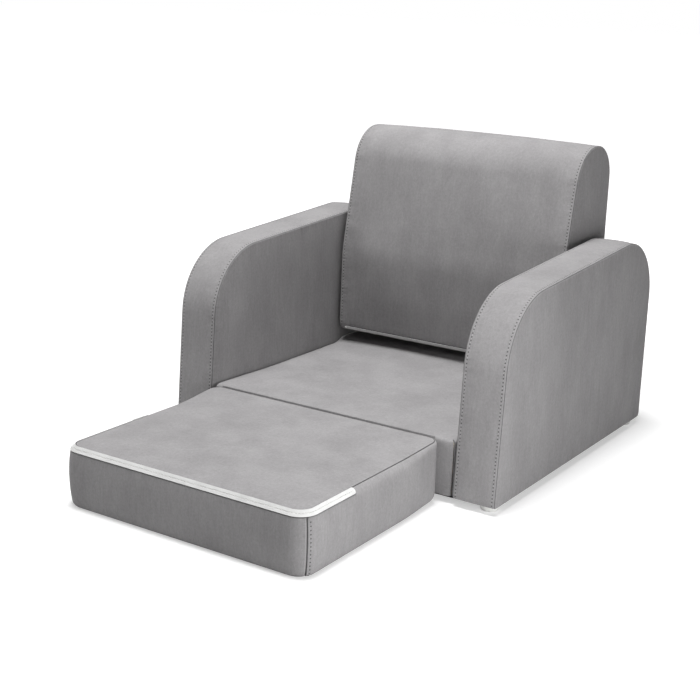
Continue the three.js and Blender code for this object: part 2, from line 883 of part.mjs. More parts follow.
function makeTeeNut(name, sign, { y, z }) {
  const bore = boltRadius + clearance;
  const face = boardOuter + clearance;
  const nut = turned(
    [
      [bore, face - teeBarrelLength],
      [teeBarrelRadius, face - teeBarrelLength],
      [teeBarrelRadius, face],
      [teeFlangeRadius, face],
      [teeFlangeRadius, face + teeFlangeThickness],
      [bore, face + teeFlangeThickness],
      [bore, face - teeBarrelLength],
    ],
    roundSides,
  );
  nut.rotateZ((-sign * Math.PI) / 2);
  nut.translate(0, y, z);
  addPart(name, nut, materials.steel);
}

function makeFasteners(side, sign) {
  const ends = ['front', 'rear'];
  baseBolts.forEach((bolt, i) => {
    makeBolt(`base_bolt_${ends[i]}_${side}`, sign, bolt);
    makeTeeNut(`base_tee_nut_${ends[i]}_${side}`, sign, bolt);
  });
  const levels = ['lower', 'upper'];
  backBolts.forEach((bolt, i) => {
    makeBolt(`backrest_bolt_${levels[i]}_${side}`, sign, bolt);
    makeTeeNut(`backrest_tee_nut_${levels[i]}_${side}`, sign, bolt);
  });
}

// Zip sliders, made lying flat along X with the pull on the far side, then turned onto their tapes

function sliderGeometry() {
  const body = box(
    [-sliderLength / 2, -sliderWidth / 2, 0],
    [sliderLength / 2, sliderWidth / 2, sliderThickness],
  );
  const pull = box(
    [0, -pullWidth / 2, sliderThickness - pullThickness],
    [pullLength, pullWidth / 2, sliderThickness + pullThickness],
  );
  return join(body, pull);
}

// Stands a slider on its tape: along is the way it travels, across lies over the tape.
function placeSlider(name, along, across, middle) {
  const outward = along.clone().cross(across).normalize();
  const basis = new THREE.Matrix4().makeBasis(along, across, outward);
  const seat = middle.clone().addScaledVector(outward, clearance);
  const slider = sliderGeometry().applyMatrix4(basis).translate(seat.x, seat.y, seat.z);
  addPart(name, slider, materials.plastic);
}

// The footrest's slider is parked at the end of its zip on the left side and travels forwards.
function makeFootrestSlider() {
  const grid = formGrid(footrestForm, 0);
  const end = grid.outline.findIndex((point) => {
    const onLeft = footrestCornerNames[point.corner] === 'rearLeft' && point.part === 'edge';
    return onLeft && point.step === zipFirstStep;
  });
  const low = grid.rings[grid.lastBand][end];
  const high = grid.rings[grid.lastBand + 1][end];
  const forward = new THREE.Vector3(0, -1, 0);
  const middle = low.clone().lerp(high, 1 / 2).addScaledVector(forward, sliderLength);
  placeSlider('footrest_zip_slider', forward, high.clone().sub(low).normalize(), middle);
}

// The backrest's slider is parked at the right end of its zip and travels to the left.
function makeBackSlider() {
  const grid = formGrid(backForm, 0);
  const end = grid.rings[grid.lastBand];
  const [high, low] = [end[0], end[backZipSteps]];
  const leftwards = new THREE.Vector3(-1, 0, 0);
  const middle = end[backZipSteps / 2].clone().addScaledVector(leftwards, sliderLength);
  placeSlider('backrest_zip_slider', leftwards, low.clone().sub(high).normalize(), middle);
}

const sides = [['left', -1], ['right', 1]];

for (const [side, sign] of sides) {
  makeArm(side, sign);
  makeFeet(side, sign);
  makeFasteners(side, sign);
}
makeDustCover();
makeSeat();
makeFootrest();
makeBackrest();
makeFootrestSlider();
makeBackSlider();

const rearmost = depth + armBandCrown;
const foremost = footrestFront - footrestCrown;
chair.position.y = -(rearmost + foremost) / 2;

export default chair;
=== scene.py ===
"""Looks of a childrens sofa in grey suede: padded arms, seat and backrest, and a footrest that folds out."""

import json
import logging
import math
from contextlib import contextmanager
from dataclasses import dataclass, field
from enum import Enum
from typing import Callable, Iterator, Sequence

import bmesh
import bpy
import numpy as np
from mathutils import Matrix, Vector, noise
from mathutils.bvhtree import BVHTree
from mathutils.kdtree import KDTree

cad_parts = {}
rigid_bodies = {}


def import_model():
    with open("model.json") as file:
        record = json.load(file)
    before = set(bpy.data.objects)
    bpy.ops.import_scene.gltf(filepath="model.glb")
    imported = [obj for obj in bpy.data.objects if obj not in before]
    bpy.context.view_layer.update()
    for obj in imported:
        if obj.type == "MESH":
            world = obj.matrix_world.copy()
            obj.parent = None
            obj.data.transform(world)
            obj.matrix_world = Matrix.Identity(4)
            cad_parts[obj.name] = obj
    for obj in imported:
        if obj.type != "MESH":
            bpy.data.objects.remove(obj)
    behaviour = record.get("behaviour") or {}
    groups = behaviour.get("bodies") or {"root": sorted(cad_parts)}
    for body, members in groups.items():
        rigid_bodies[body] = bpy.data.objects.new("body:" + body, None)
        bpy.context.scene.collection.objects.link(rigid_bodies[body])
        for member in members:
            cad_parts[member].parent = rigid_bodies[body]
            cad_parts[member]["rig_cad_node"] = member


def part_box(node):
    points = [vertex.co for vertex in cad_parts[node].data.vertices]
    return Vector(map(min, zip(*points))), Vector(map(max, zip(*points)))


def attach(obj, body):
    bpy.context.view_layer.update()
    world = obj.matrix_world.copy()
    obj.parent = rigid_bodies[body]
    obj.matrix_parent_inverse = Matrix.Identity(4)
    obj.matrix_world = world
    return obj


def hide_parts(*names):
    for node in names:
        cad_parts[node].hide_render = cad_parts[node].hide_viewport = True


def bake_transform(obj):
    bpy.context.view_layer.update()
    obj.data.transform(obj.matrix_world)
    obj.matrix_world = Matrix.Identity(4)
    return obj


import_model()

logging.basicConfig(level=logging.INFO, format="%(message)s")
log = logging.getLogger("sofa")

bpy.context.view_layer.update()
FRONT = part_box("dust_cover")[0].y - 0.007  # where the fronts of the arms stand
STITCH_PITCH = 0.0049  # from one stitch to the next
STITCH_OFF = 0.0045  # from a seam to its stitches
STITCH_LENGTH = 0.0034
STITCH_RADIUS = 0.00036
STITCH_DIP = 0.0005  # how far the ends of a stitch sink into the cloth
Array = np.ndarray
Colour = tuple[float, float, float]
Span = tuple[float, float]


# Editing, as by hand


class Pick(Enum):
    """What is picked in edit mode."""

    VERT = "verts"
    EDGE = "edges"
    FACE = "faces"


def activate(piece: bpy.types.Object) -> None:
    """Makes a piece the only selected one, and active."""
    bpy.ops.object.select_all(action="DESELECT")
    piece.select_set(True)
    bpy.context.view_layer.objects.active = piece


@contextmanager
def editing(piece: bpy.types.Object) -> Iterator[None]:
    """Holds a piece in edit mode, with nothing selected at the start."""
    activate(piece)
    bpy.ops.object.mode_set(mode="EDIT")
    bpy.ops.mesh.select_all(action="DESELECT")
    try:
        yield
    finally:
        bpy.ops.object.mode_set(mode="OBJECT")


def pick(piece: bpy.types.Object, kind: Pick, test: Callable[..., bool]) -> int:
    """Selects the elements of a piece in edit mode that pass a test, and nothing else.

    Args:
        piece: The piece in edit mode.
        kind: Whether vertices, edges or faces are picked.
        test: Says whether an element is picked.

    Returns:
        How many were picked.
    """
    bpy.ops.mesh.select_mode(type=kind.name)
    bpy.ops.mesh.select_all(action="DESELECT")
    mesh = bmesh.from_edit_mesh(piece.data)
    found = [element for element in getattr(mesh, kind.value) if test(element)]
    for element in found:
        element.select_set(True)
    mesh.select_flush_mode()
    bmesh.update_edit_mesh(piece.data)
    return len(found)


def finish_with(piece: bpy.types.Object, kind: str, **settings: object) -> None:
    """Adds a modifier with its settings to a piece and applies it.

    Args:
        piece: The piece.
        kind: The modifier's type.
        settings: Its settings by name.
    """
    activate(piece)
    modifier = piece.modifiers.new("finish", kind)
    for name, value in settings.items():
        setattr(modifier, name, value)
    bpy.ops.object.modifier_apply(modifier=modifier.name)


def read(elements: bpy.types.bpy_prop_collection, name: str, width: int, kind: type) -> Array:
    """One property of a mesh's elements, width numbers of a kind for each."""
    found = np.empty(len(elements) * width, kind)
    elements.foreach_get(name, found)
    return found


def corners_of(piece: bpy.types.Object) -> Array:
    """The vertex at each corner of a piece's faces."""
    return read(piece.data.loops, "vertex_index", 1, np.int32)


def lay_map(piece: bpy.types.Object, name: str, rows: Array) -> None:
    """Gives a piece its one UV map, with a row for each corner of its faces."""
    while piece.data.uv_layers:
        piece.data.uv_layers.remove(piece.data.uv_layers[0])
    layer = piece.data.uv_layers.new(name=name)
    layer.data.foreach_set("uv", rows.astype(np.float32).ravel())


def places(piece: bpy.types.Object) -> Array:
    """The places of a piece's vertices, one row each."""
    return read(piece.data.vertices, "co", 3, np.float32).reshape(-1, 3).astype(float)


def move_to(piece: bpy.types.Object, spots: Array) -> None:
    """Puts a piece's vertices at the given places."""
    piece.data.vertices.foreach_set("co", spots.astype(np.float32).ravel())
    piece.data.update()


def outward(piece: bpy.types.Object) -> Array:
    """The normals of a piece's vertices, one row each."""
    return read(piece.data.vertices, "normal", 3, np.float32).reshape(-1, 3).astype(float)


def settle(piece: bpy.types.Object, name: str) -> bpy.types.Object:
    """Names a piece and applies its place, turn and size to its mesh."""
    piece.name = name
    piece.data.name = name
    activate(piece)
    bpy.ops.object.transform_apply(location=True, rotation=True, scale=True)
    return piece


def added(name: str, add: Callable[..., object], **settings: object) -> bpy.types.Object:
    """Adds a primitive, to be shaped, and settles it under a name."""
    bpy.ops.object.select_all(action="DESELECT")
    add(**settings)
    return settle(bpy.context.object, name)


def rounded(piece: bpy.types.Object, width: float, segments: int, degrees: float) -> None:
    """Rounds a piece's edges that are sharper than an angle."""
    limit = math.radians(degrees)
    finish_with(piece, "BEVEL", width=width, segments=segments, limit_method="ANGLE", angle_limit=limit)


def cut_out(piece: bpy.types.Object, tool: bpy.types.Object) -> None:
    """Cuts the shape of a tool out of a piece and removes the tool."""
    finish_with(piece, "BOOLEAN", operation="DIFFERENCE", object=tool, solver="EXACT")
    bpy.data.objects.remove(tool)


def smooth(piece: bpy.types.Object, degrees: float = 180.0) -> None:
    """Shades a piece smooth, apart from edges sharper than an angle."""
    activate(piece)
    bpy.ops.object.shade_smooth_by_angle(angle=math.radians(degrees), keep_sharp_edges=False)


def unit(rows: Array) -> Array:
    """Rows scaled to length one."""
    return rows / np.maximum(np.linalg.norm(rows, axis=-1, keepdims=True), 1e-12)


def distances(line: Array) -> Array:
    """How far along a line each of its points lies."""
    return np.concatenate([[0.0], np.cumsum(np.linalg.norm(np.diff(line, axis=0), axis=1))])


def on_line(run: float, runs: Array, line: Array) -> Array:
    """The point at a distance along a line, whose points lie at known distances."""
    return np.array([np.interp(run, runs, line[:, axis]) for axis in range(line.shape[1])])


def eased(value: Array, low: float, high: float) -> Array:
    """Rises smoothly from nought at low to one at high."""
    share = np.clip((value - low) / (high - low), 0.0, 1.0)
    return share * share * (3.0 - 2.0 * share)


def repeated(master: bpy.types.Object, name: str, frames: Sequence[Matrix]) -> bpy.types.Object:
    """Sets copies of a small piece at many places, as one piece, and removes the first one.

    Args:
        master: The piece, modelled at the origin.
        name: Name of the new piece.
        frames: Where each copy stands.

    Returns:
        The new piece.
    """
    spots = places(master)
    faces = [tuple(polygon.vertices) for polygon in master.data.polygons]
    all_spots: list[Array] = []
    all_faces: list[tuple[int, ...]] = []
    for turn, place in enumerate(frames):
        matrix = np.array(place)
        all_spots.append(spots @ matrix[:3, :3].T + matrix[:3, 3])
        start = turn * len(spots)
        all_faces.extend(tuple(corner + start for corner in face) for face in faces)
    mesh = bpy.data.meshes.new(name)
    mesh.from_pydata(np.vstack(all_spots).tolist(), [], all_faces)
    piece = bpy.data.objects.new(name, mesh)
    bpy.context.scene.collection.objects.link(piece)
    bpy.data.objects.remove(master)
    return piece


def standing(along: Array, across: Array, spot: Array) -> Matrix:
    """A frame with X along, Y across and Z out of a surface, at a spot."""
    x = unit(along)
    z = unit(np.cross(x, across))
    y = np.cross(z, x)
    matrix = Matrix.Identity(4)
    for row in range(3):
        matrix[row][:] = (x[row], y[row], z[row], spot[row])
    return matrix


# Materials


class Wire:
    """A number that runs through a material's nodes."""

    def __init__(self, graph: "Graph", socket: bpy.types.NodeSocket) -> None:
        """Wraps an output socket."""
        self.graph = graph
        self.socket = socket

    def _sum(self, operation: str, first: object, second: object) -> "Wire":
        """Adds one Math node."""
        return self.graph.add("ShaderNodeMath", {"operation": operation}, {0: first, 1: second})

    def __add__(self, other: object) -> "Wire":
        """This plus other."""
        return self._sum("ADD", self, other)

    __radd__ = __add__

    def __sub__(self, other: object) -> "Wire":
        """This less other."""
        return self._sum("SUBTRACT", self, other)

    def __rsub__(self, other: object) -> "Wire":
        """Other less this."""
        return self._sum("SUBTRACT", other, self)

    def __mul__(self, other: object) -> "Wire":
        """This times other."""
        return self._sum("MULTIPLY", self, other)

    __rmul__ = __mul__

    def __truediv__(self, other: object) -> "Wire":
        """This over other."""
        return self._sum("DIVIDE", self, other)

    def __mod__(self, other: object) -> "Wire":
        """What is left of this after whole steps of other."""
        return self._sum("FLOORED_MODULO", self, other)

    def __abs__(self) -> "Wire":
        """This without its sign."""
        return self._sum("ABSOLUTE", self, 0.0)

    def least(self, other: object) -> "Wire":
        """The lesser of this and other."""
        return self._sum("MINIMUM", self, other)


class Graph:
    """The nodes of one material."""

    def __init__(self, name: str) -> None:
        """Starts an empty material."""
        self.material = bpy.data.materials.new(name)
        self.material.use_nodes = True
        self.tree = self.material.node_tree
        self.tree.nodes.clear()

    def node(self, kind: str, settings: dict[str, object], inputs: dict[object, object]) -> bpy.types.Node:
        """Adds a node of any type.

        Args:
            kind: Its type.
            settings: Its own settings, with a ramp's stops under "stops".
            inputs: The values or wires of its sockets, by name or number.

        Returns:
            The node.
        """
        node = self.tree.nodes.new(kind)
        for name, value in settings.items():
            if name == "stops":
                ramp = node.color_ramp
                while len(ramp.elements) < len(value):
                    ramp.elements.new(0.5)
                for element, (position, colour) in zip(ramp.elements, value):
                    element.position = position
                    element.color = (*colour, 1.0)
            else:
                setattr(node, name, value)
        for name, value in inputs.items():
            socket = node.inputs[name]
            if isinstance(value, Wire):
                self.tree.links.new(value.socket, socket)
            elif isinstance(value, tuple) and len(value) == 3 and socket.type == "RGBA":
                socket.default_value = (*value, 1.0)
            else:
                socket.default_value = value
        return node

    def add(
        self,
        kind: str,
        settings: dict[str, object] | None = None,
        inputs: dict[object, object] | None = None,
        output: object = 0,
    ) -> Wire:
        """Adds a node of any type and wraps one of its outputs.

        Args:
            kind: The node's type.
            settings: Its own settings.
            inputs: The values or wires of its sockets.
            output: The name or number of the output.

        Returns:
            The wrapped output.
        """
        node = self.node(kind, settings or {}, inputs or {})
        return Wire(self, node.outputs[output])

    def place(self) -> Wire:
        """The point in the part's own frame."""
        return self.add("ShaderNodeTexCoord", output="Object")

    def parts(self, vector: Wire) -> tuple[Wire, Wire, Wire]:
        """The three numbers of a vector."""
        node = self.node("ShaderNodeSeparateXYZ", {}, {0: vector})
        return Wire(self, node.outputs[0]), Wire(self, node.outputs[1]), Wire(self, node.outputs[2])

    def vector(self, x: object, y: object, z: object) -> Wire:
        """A vector of three numbers."""
        return self.add("ShaderNodeCombineXYZ", {}, {0: x, 1: y, 2: z})

    def stretched(self, vector: Wire, scale: tuple, turn: tuple = (0.0, 0.0, 0.0)) -> Wire:
        """A vector turned and then scaled along each axis."""
        return self.add("ShaderNodeMapping", {}, {"Vector": vector, "Rotation": turn, "Scale": scale})

    def grain(self, vector: Wire, scale: float, detail: float = 2.0, roughness: float = 0.5) -> Wire:
        """Noise from nought to one."""
        inputs = {"Vector": vector, "Scale": scale, "Detail": detail, "Roughness": roughness}
        return self.add("ShaderNodeTexNoise", {}, inputs)

    def rise(self, value: Wire, low: float, high: float, start: float = 0.0, end: float = 1.0) -> Wire:
        """Goes smoothly from start to end as a value goes from low to high."""
        return self.add(
            "ShaderNodeMapRange",
            {"interpolation_type": "SMOOTHSTEP"},
            {"Value": value, "From Min": low, "From Max": high, "To Min": start, "To Max": end},
        )

    def colour(self, share: object, first: object, second: object) -> Wire:
        """Mixes two colours."""
        node = self.node("ShaderNodeMix", {"data_type": "RGBA"}, {"Factor": share})
        for socket, value in ((node.inputs[6], first), (node.inputs[7], second)):
            if isinstance(value, Wire):
                self.tree.links.new(value.socket, socket)
            else:
                socket.default_value = (*value, 1.0)
        return Wire(self, node.outputs[2])

    def bump(self, height: Wire, depth: float, strength: float = 1.0) -> Wire:
        """A normal from a height in metres of depth."""
        return self.add(
            "ShaderNodeBump", {}, {"Strength": strength, "Distance": depth, "Height": height}, "Normal"
        )

    def surface(self, **inputs: object) -> bpy.types.Material:
        """Ends the material with its surface, whose inputs are named with underscores for spaces."""
        named = {name.replace("_", " "): value for name, value in inputs.items()}
        shader = self.add("ShaderNodeBsdfPrincipled", {}, named)
        self.node("ShaderNodeOutputMaterial", {}, {"Surface": shader})
        return self.material


def ridges(value: Wire, pitch: float) -> Wire:
    """Goes from one to nought and back with each pitch."""
    return abs((value % pitch) / pitch - 0.5) * 2.0


@dataclass(frozen=True)
class Finish:
    """A finish that varies between a light and a dark tone."""

    name: str
    light: Colour
    dark: Colour

    def inputs(self, g: Graph, spot: Wire) -> dict[str, object]:
        """The inputs of its surface, from the point in the part's own frame."""
        raise NotImplementedError

    def material(self) -> bpy.types.Material:
        """Builds the material."""
        g = Graph(self.name)
        return g.surface(**self.inputs(g, g.place()))


@dataclass(frozen=True)
class Suede(Finish):
    """Short-napped grey cloth with needle holes beside its seams, painted shade in the seams and holes, and
    painted highlights on the ridges of the gathers near them.
    """

    name: str = "grey_suede"
    light: Colour = (0.345, 0.337, 0.341)
    dark: Colour = (0.235, 0.229, 0.232)
    # painted shade: the near-black colour laid into the seam grooves and the needle holes
    seam: Colour = (0.055, 0.054, 0.055)
    # lighter colour for wear on the rolled seam edges, and painted highlight on the ridges of the gathers
    worn: Colour = (0.5, 0.49, 0.495)
    line: Span = (0.0005, 0.0014)
    rolled: Span = (0.0012, 0.004)
    hole_width: Span = (0.0005, 0.0012)
    hole_length: Span = (0.27, 0.40)
    gathered: Span = (0.003, 0.017)
    pucker_scales: Span = (210.0, 26.0)
    pucker_depth: float = 0.0011
    nap_depth: float = 0.0005

    def inputs(self, g: Graph, spot: Wire) -> dict[str, object]:
        """The inputs of its surface."""
        clouds = g.grain(g.stretched(spot, (1.0, 1.0, 0.55)), 17.0, 3.0, 0.55)
        brushed = g.grain(g.stretched(spot, (34.0, 34.0, 9.0), (0.3, 0.2, 0.5)), 1.0, 3.0, 0.6)
        streaks = g.grain(g.stretched(spot, (1.0, 1.0, 0.12)), 330.0, 3.0, 0.7)
        fibres = g.grain(g.stretched(spot, (1.0, 1.0, 0.45)), 900.0, 2.0, 0.65)
        nap = g.grain(spot, 260.0, 3.0, 0.6)
        along, off, _ = g.parts(g.add("ShaderNodeUVMap", {"uv_map": "seams"}))
        away = abs(off)
        shade = g.rise(clouds, 0.3, 0.7, 0.25, 0.60) + (brushed - 0.5) * 0.6 + (streaks - 0.5) * 0.7
        shade = shade + (fibres - 0.5) * 0.8 + (nap - 0.5) * 0.7
        cloth = g.colour(shade, self.dark, self.light)
        line = g.rise(away, *self.line, 1.0, 0.0)
        rolled = g.rise(away, *self.rolled, 0.10, 0.0)
        step = abs((along % STITCH_PITCH) - STITCH_PITCH / 2) / STITCH_PITCH
        row = g.rise(abs(off - STITCH_OFF), *self.hole_width, 1.0, 0.0)
        hole = row * g.rise(step, *self.hole_length, 0.0, 1.0)
        lengthwise, crosswise = self.pucker_scales
        pucker = g.grain(g.vector(along * lengthwise, off * crosswise, 0.0), 1.0, 2.0, 0.5)
        gathered = g.rise(away, *self.gathered, 1.0, 0.0)
        # rolled seam edges lighter as wear; raised ridges of the gathers lighter as painted highlight
        cloth = g.colour(rolled + (pucker - 0.5) * gathered * 0.35, cloth, self.worn)
        # painted shade: the seam grooves and the needle holes go near black
        cloth = g.colour((line * 0.85 + hole * 0.8).least(0.9), cloth, self.seam)
        folds = g.bump((pucker - 0.5) * gathered - hole * 0.6, self.pucker_depth, 0.8)
        height = fibres * 0.5 + nap * 0.5
        normal = g.add(
            "ShaderNodeBump",
            {},
            {"Strength": 0.35, "Distance": self.nap_depth, "Height": height, "Normal": folds},
            "Normal",
        )
        return dict(
            Base_Color=cloth,
            Roughness=g.rise(brushed, 0.3, 0.7, 0.86, 0.97),
            Specular_IOR_Level=0.22,
            Sheen_Weight=0.08,
            Sheen_Roughness=0.45,
            Sheen_Tint=(0.8, 0.79, 0.8),
            Normal=normal,
        )


@dataclass(frozen=True)
class Tape(Finish):
    """Woven white zip tape with fine ribs across."""

    name: str = "white_zip_tape"
    light: Colour = (0.66, 0.66, 0.655)
    dark: Colour = (0.50, 0.50, 0.495)
    rib_pitch: float = 0.0009
    row_pitch: float = 0.0007

    def inputs(self, g: Graph, spot: Wire) -> dict[str, object]:
        """The inputs of its surface."""
        along, across, _ = g.parts(g.add("ShaderNodeUVMap", {"uv_map": "tape"}))
        ribs, rows = ridges(along, self.rib_pitch), ridges(across, self.row_pitch)
        soil = g.grain(spot, 60.0, 3.0, 0.6)
        weave = ribs * 0.6 + rows * 0.4
        return dict(
            Base_Color=g.colour(weave * 0.4 + g.rise(soil, 0.3, 0.75, 0.0, 0.35), self.light, self.dark),
            Roughness=g.rise(soil, 0.3, 0.7, 0.7, 0.85),
            Sheen_Weight=0.15,
            Normal=g.bump(weave, 0.00015, 0.7),
        )


@dataclass(frozen=True)
class Thread(Finish):
    """Twisted sewing thread, with painted shade in the grooves of its twist."""

    name: str = "grey_thread"
    light: Colour = (0.46, 0.45, 0.455)
    dark: Colour = (0.26, 0.255, 0.26)
    twist: float = 0.0006

    def inputs(self, g: Graph, spot: Wire) -> dict[str, object]:
        """The inputs of its surface."""
        x, y, z = g.parts(spot)
        twist = ridges(x + y + z * 1.3, self.twist)
        return dict(
            # painted shade: the colour is darker where the twist's bump sinks
            Base_Color=g.colour(twist, self.dark, self.light),
            Roughness=g.rise(twist, 0.0, 1.0, 0.75, 0.6),
            Normal=g.bump(twist, 0.0001, 0.8),
        )


@dataclass(frozen=True)
class Foam(Finish):
    """Cut upholstery foam with open pores, with painted shade in the pores."""

    name: str = "cut_foam"
    light: Colour = (0.88, 0.82, 0.60)
    dark: Colour = (0.62, 0.54, 0.33)

    def inputs(self, g: Graph, spot: Wire) -> dict[str, object]:
        """The inputs of its surface."""
        cells = g.add("ShaderNodeTexVoronoi", {}, {"Vector": spot, "Scale": 700.0}, "Distance")
        tone = g.grain(spot, 30.0, 3.0, 0.6)
        pores = g.rise(cells, 0.1, 0.6)
        return dict(
            # painted shade: the pores, which the bump sinks, are darker
            Base_Color=g.colour(pores * 0.5 + tone * 0.35, self.light, self.dark),
            Roughness=g.rise(tone, 0.2, 0.8, 0.9, 1.0),
            Normal=g.bump(1.0 - pores, 0.0008, 0.7),
        )


@dataclass(frozen=True)
class Wood(Finish):
    """Sawn wood: rings and streaks that run along one way, with plies if it is plywood."""

    stretch: tuple[float, float, float]
    plies: float = 0.0

    def inputs(self, g: Graph, spot: Wire) -> dict[str, object]:
        """The inputs of its surface."""
        long = g.stretched(spot, self.stretch)
        wander = g.grain(long, 2.5, 2.0, 0.5)
        streaks = g.grain(long, 60.0, 4.0, 0.65)
        pores = g.grain(g.stretched(spot, tuple(s * 9.0 for s in self.stretch)), 30.0, 2.0, 0.6)
        rings = ridges(wander * 14.0, 1.0)
        share = rings * 0.45 + streaks * 0.35 + pores * 0.2
        if self.plies:
            x, y, z = g.parts(spot)
            ply = ((x + y + z) / self.plies) % 2.0
            share = share * 0.8 + g.rise(ply, 0.95, 1.05) * 0.2
        return dict(
            Base_Color=g.colour(g.rise(share, 0.2, 0.85), self.light, self.dark),
            Roughness=g.rise(streaks, 0.3, 0.7, 0.62, 0.82),
            Specular_IOR_Level=0.3,
            Normal=g.bump(share, 0.0004, 0.5),
        )


@dataclass(frozen=True)
class Lining(Finish):
    """Black non-woven lining with pressed dots."""

    name: str = "black_lining"
    light: Colour = (0.030, 0.030, 0.032)
    dark: Colour = (0.012, 0.012, 0.013)
    dot_pitch: float = 0.0016

    def inputs(self, g: Graph, spot: Wire) -> dict[str, object]:
        """The inputs of its surface."""
        x, y, _ = g.parts(spot)
        dots = g.rise(ridges(x, self.dot_pitch).least(ridges(y, self.dot_pitch)), 0.5, 0.75)
        fibres = g.grain(spot, 500.0, 3.0, 0.7)
        return dict(
            Base_Color=g.colour(fibres * 0.7 + dots * 0.3, self.dark, self.light),
            Roughness=g.rise(fibres, 0.3, 0.7, 0.75, 0.95),
            Normal=g.bump(fibres * 0.5 - dots * 0.5, 0.0002, 0.6),
        )


@dataclass(frozen=True)
class Plastic(Finish):
    """Moulded plastic with a fine grain and a few scuffs."""

    name: str = "white_plastic"
    light: Colour = (0.84, 0.84, 0.82)
    dark: Colour = (0.66, 0.66, 0.63)

    def inputs(self, g: Graph, spot: Wire) -> dict[str, object]:
        """The inputs of its surface."""
        scuffs = g.rise(g.grain(g.stretched(spot, (1.0, 3.0, 1.0)), 130.0, 4.0, 0.7), 0.58, 0.74)
        fine = g.grain(spot, 1400.0, 1.0)
        return dict(
            Base_Color=g.colour(scuffs * 0.7, self.light, self.dark),
            Roughness=0.38 + scuffs * 0.25 + fine * 0.1,
            Specular_IOR_Level=0.45,
            Normal=g.bump(fine + scuffs * -0.6, 0.00012, 0.5),
        )


@dataclass(frozen=True)
class Steel(Finish):
    """Zinc-plated steel with fine turning marks."""

    name: str = "plated_steel"
    light: Colour = (0.62, 0.63, 0.65)
    dark: Colour = (0.40, 0.40, 0.42)

    def inputs(self, g: Graph, spot: Wire) -> dict[str, object]:
        """The inputs of its surface."""
        marks = g.grain(g.stretched(spot, (1.0, 1.0, 6.0)), 500.0, 3.0, 0.6)
        bloom = g.grain(spot, 90.0, 3.0, 0.6)
        return dict(
            Base_Color=g.colour(bloom, self.light, self.dark),
            Metallic=1.0,
            Roughness=0.22 + marks * 0.2 + bloom * 0.12,
            Normal=g.bump(marks, 0.0001, 0.4),
        )


def dress(piece: bpy.types.Object, material: bpy.types.Material) -> None:
    """Gives a new piece its material."""
    piece.data.materials.clear()
    piece.data.materials.append(material)


# Padded forms

BASE = 0.0092  # where the covers end, over the dust cover


@dataclass(frozen=True)
class Corner:
    """A rounded corner of an outline, in metres; a side of the form ends at it unless it says otherwise."""

    along: float
    up: float
    radius: float
    ends_side: bool = True
    share: float = 0.5


class Outline:
    """A closed counterclockwise outline with rounded corners and four sides."""

    def __init__(self, corners: Sequence[Corner], arc_steps: int = 60) -> None:
        """Lays out points along the outline and marks where its sides end."""
        points: list[Array] = []
        marks: list[int] = []
        for turn, here in enumerate(corners):
            last, following = corners[turn - 1], corners[(turn + 1) % len(corners)]
            at = np.array((here.along, here.up))
            into = unit(at - np.array((last.along, last.up)))
            out = unit(np.array((following.along, following.up)) - at)
            angle = math.atan2(into[0] * out[1] - into[1] * out[0], float(into @ out))
            start = at - into * here.radius * math.tan(angle / 2)
            centre = start + np.array((-into[1], into[0])) * here.radius
            if here.ends_side:
                marks.append(len(points) + round(arc_steps * here.share))
            for step in range(arc_steps + 1):
                part = angle * step / arc_steps
                arm = start - centre
                turned = (
                    arm[0] * math.cos(part) - arm[1] * math.sin(part),
                    arm[0] * math.sin(part) + arm[1] * math.cos(part),
                )
                points.append(centre + np.array(turned))
        self._points = np.vstack([*points, points[0]])
        self._run = distances(self._points)
        self.length = float(self._run[-1])
        self.marks = [float(self._run[mark]) for mark in marks]

    def at(self, distance: Array) -> Array:
        """Points at distances along the outline."""
        wrapped = np.mod(distance, self.length)
        return np.stack([np.interp(wrapped, self._run, self._points[:, axis]) for axis in (0, 1)], axis=-1)

    def normal(self, distance: Array) -> Array:
        """Outward directions at distances along the outline."""
        along = unit(self.at(distance + 0.0005) - self.at(distance - 0.0005))
        return np.stack([along[..., 1], -along[..., 0]], axis=-1)

    def side(self, number: int, shares: Array) -> Array:
        """Distances along the outline for shares of one of its four sides."""
        start = self.marks[number]
        end = self.marks[(number + 1) % 4]
        if end <= start:
            end += self.length
        return start + shares * (end - start)


def spline(points: Array, closed: bool, steps: int = 6) -> Array:
    """The smooth line that subdivision makes of a creased row of points."""
    if closed:
        control, spans = np.vstack([points[-1:], points, points[:2]]), len(points)
    else:
        ends = 2 * points[:1] - points[1:2], 2 * points[-1:] - points[-2:-1]
        control, spans = np.vstack([ends[0], points, ends[1]]), len(points) - 1
    t = (np.arange(steps) / steps)[None, :, None]
    weights = ((1 - t) ** 3, 3 * t**3 - 6 * t**2 + 4, -3 * t**3 + 3 * t**2 + 3 * t + 1, t**3)
    line = sum(weight * control[turn : turn + spans, None] for turn, weight in enumerate(weights)) / 6
    line = line.reshape(-1, 3)
    return np.vstack([line, line[:1] if closed else points[-1:]])


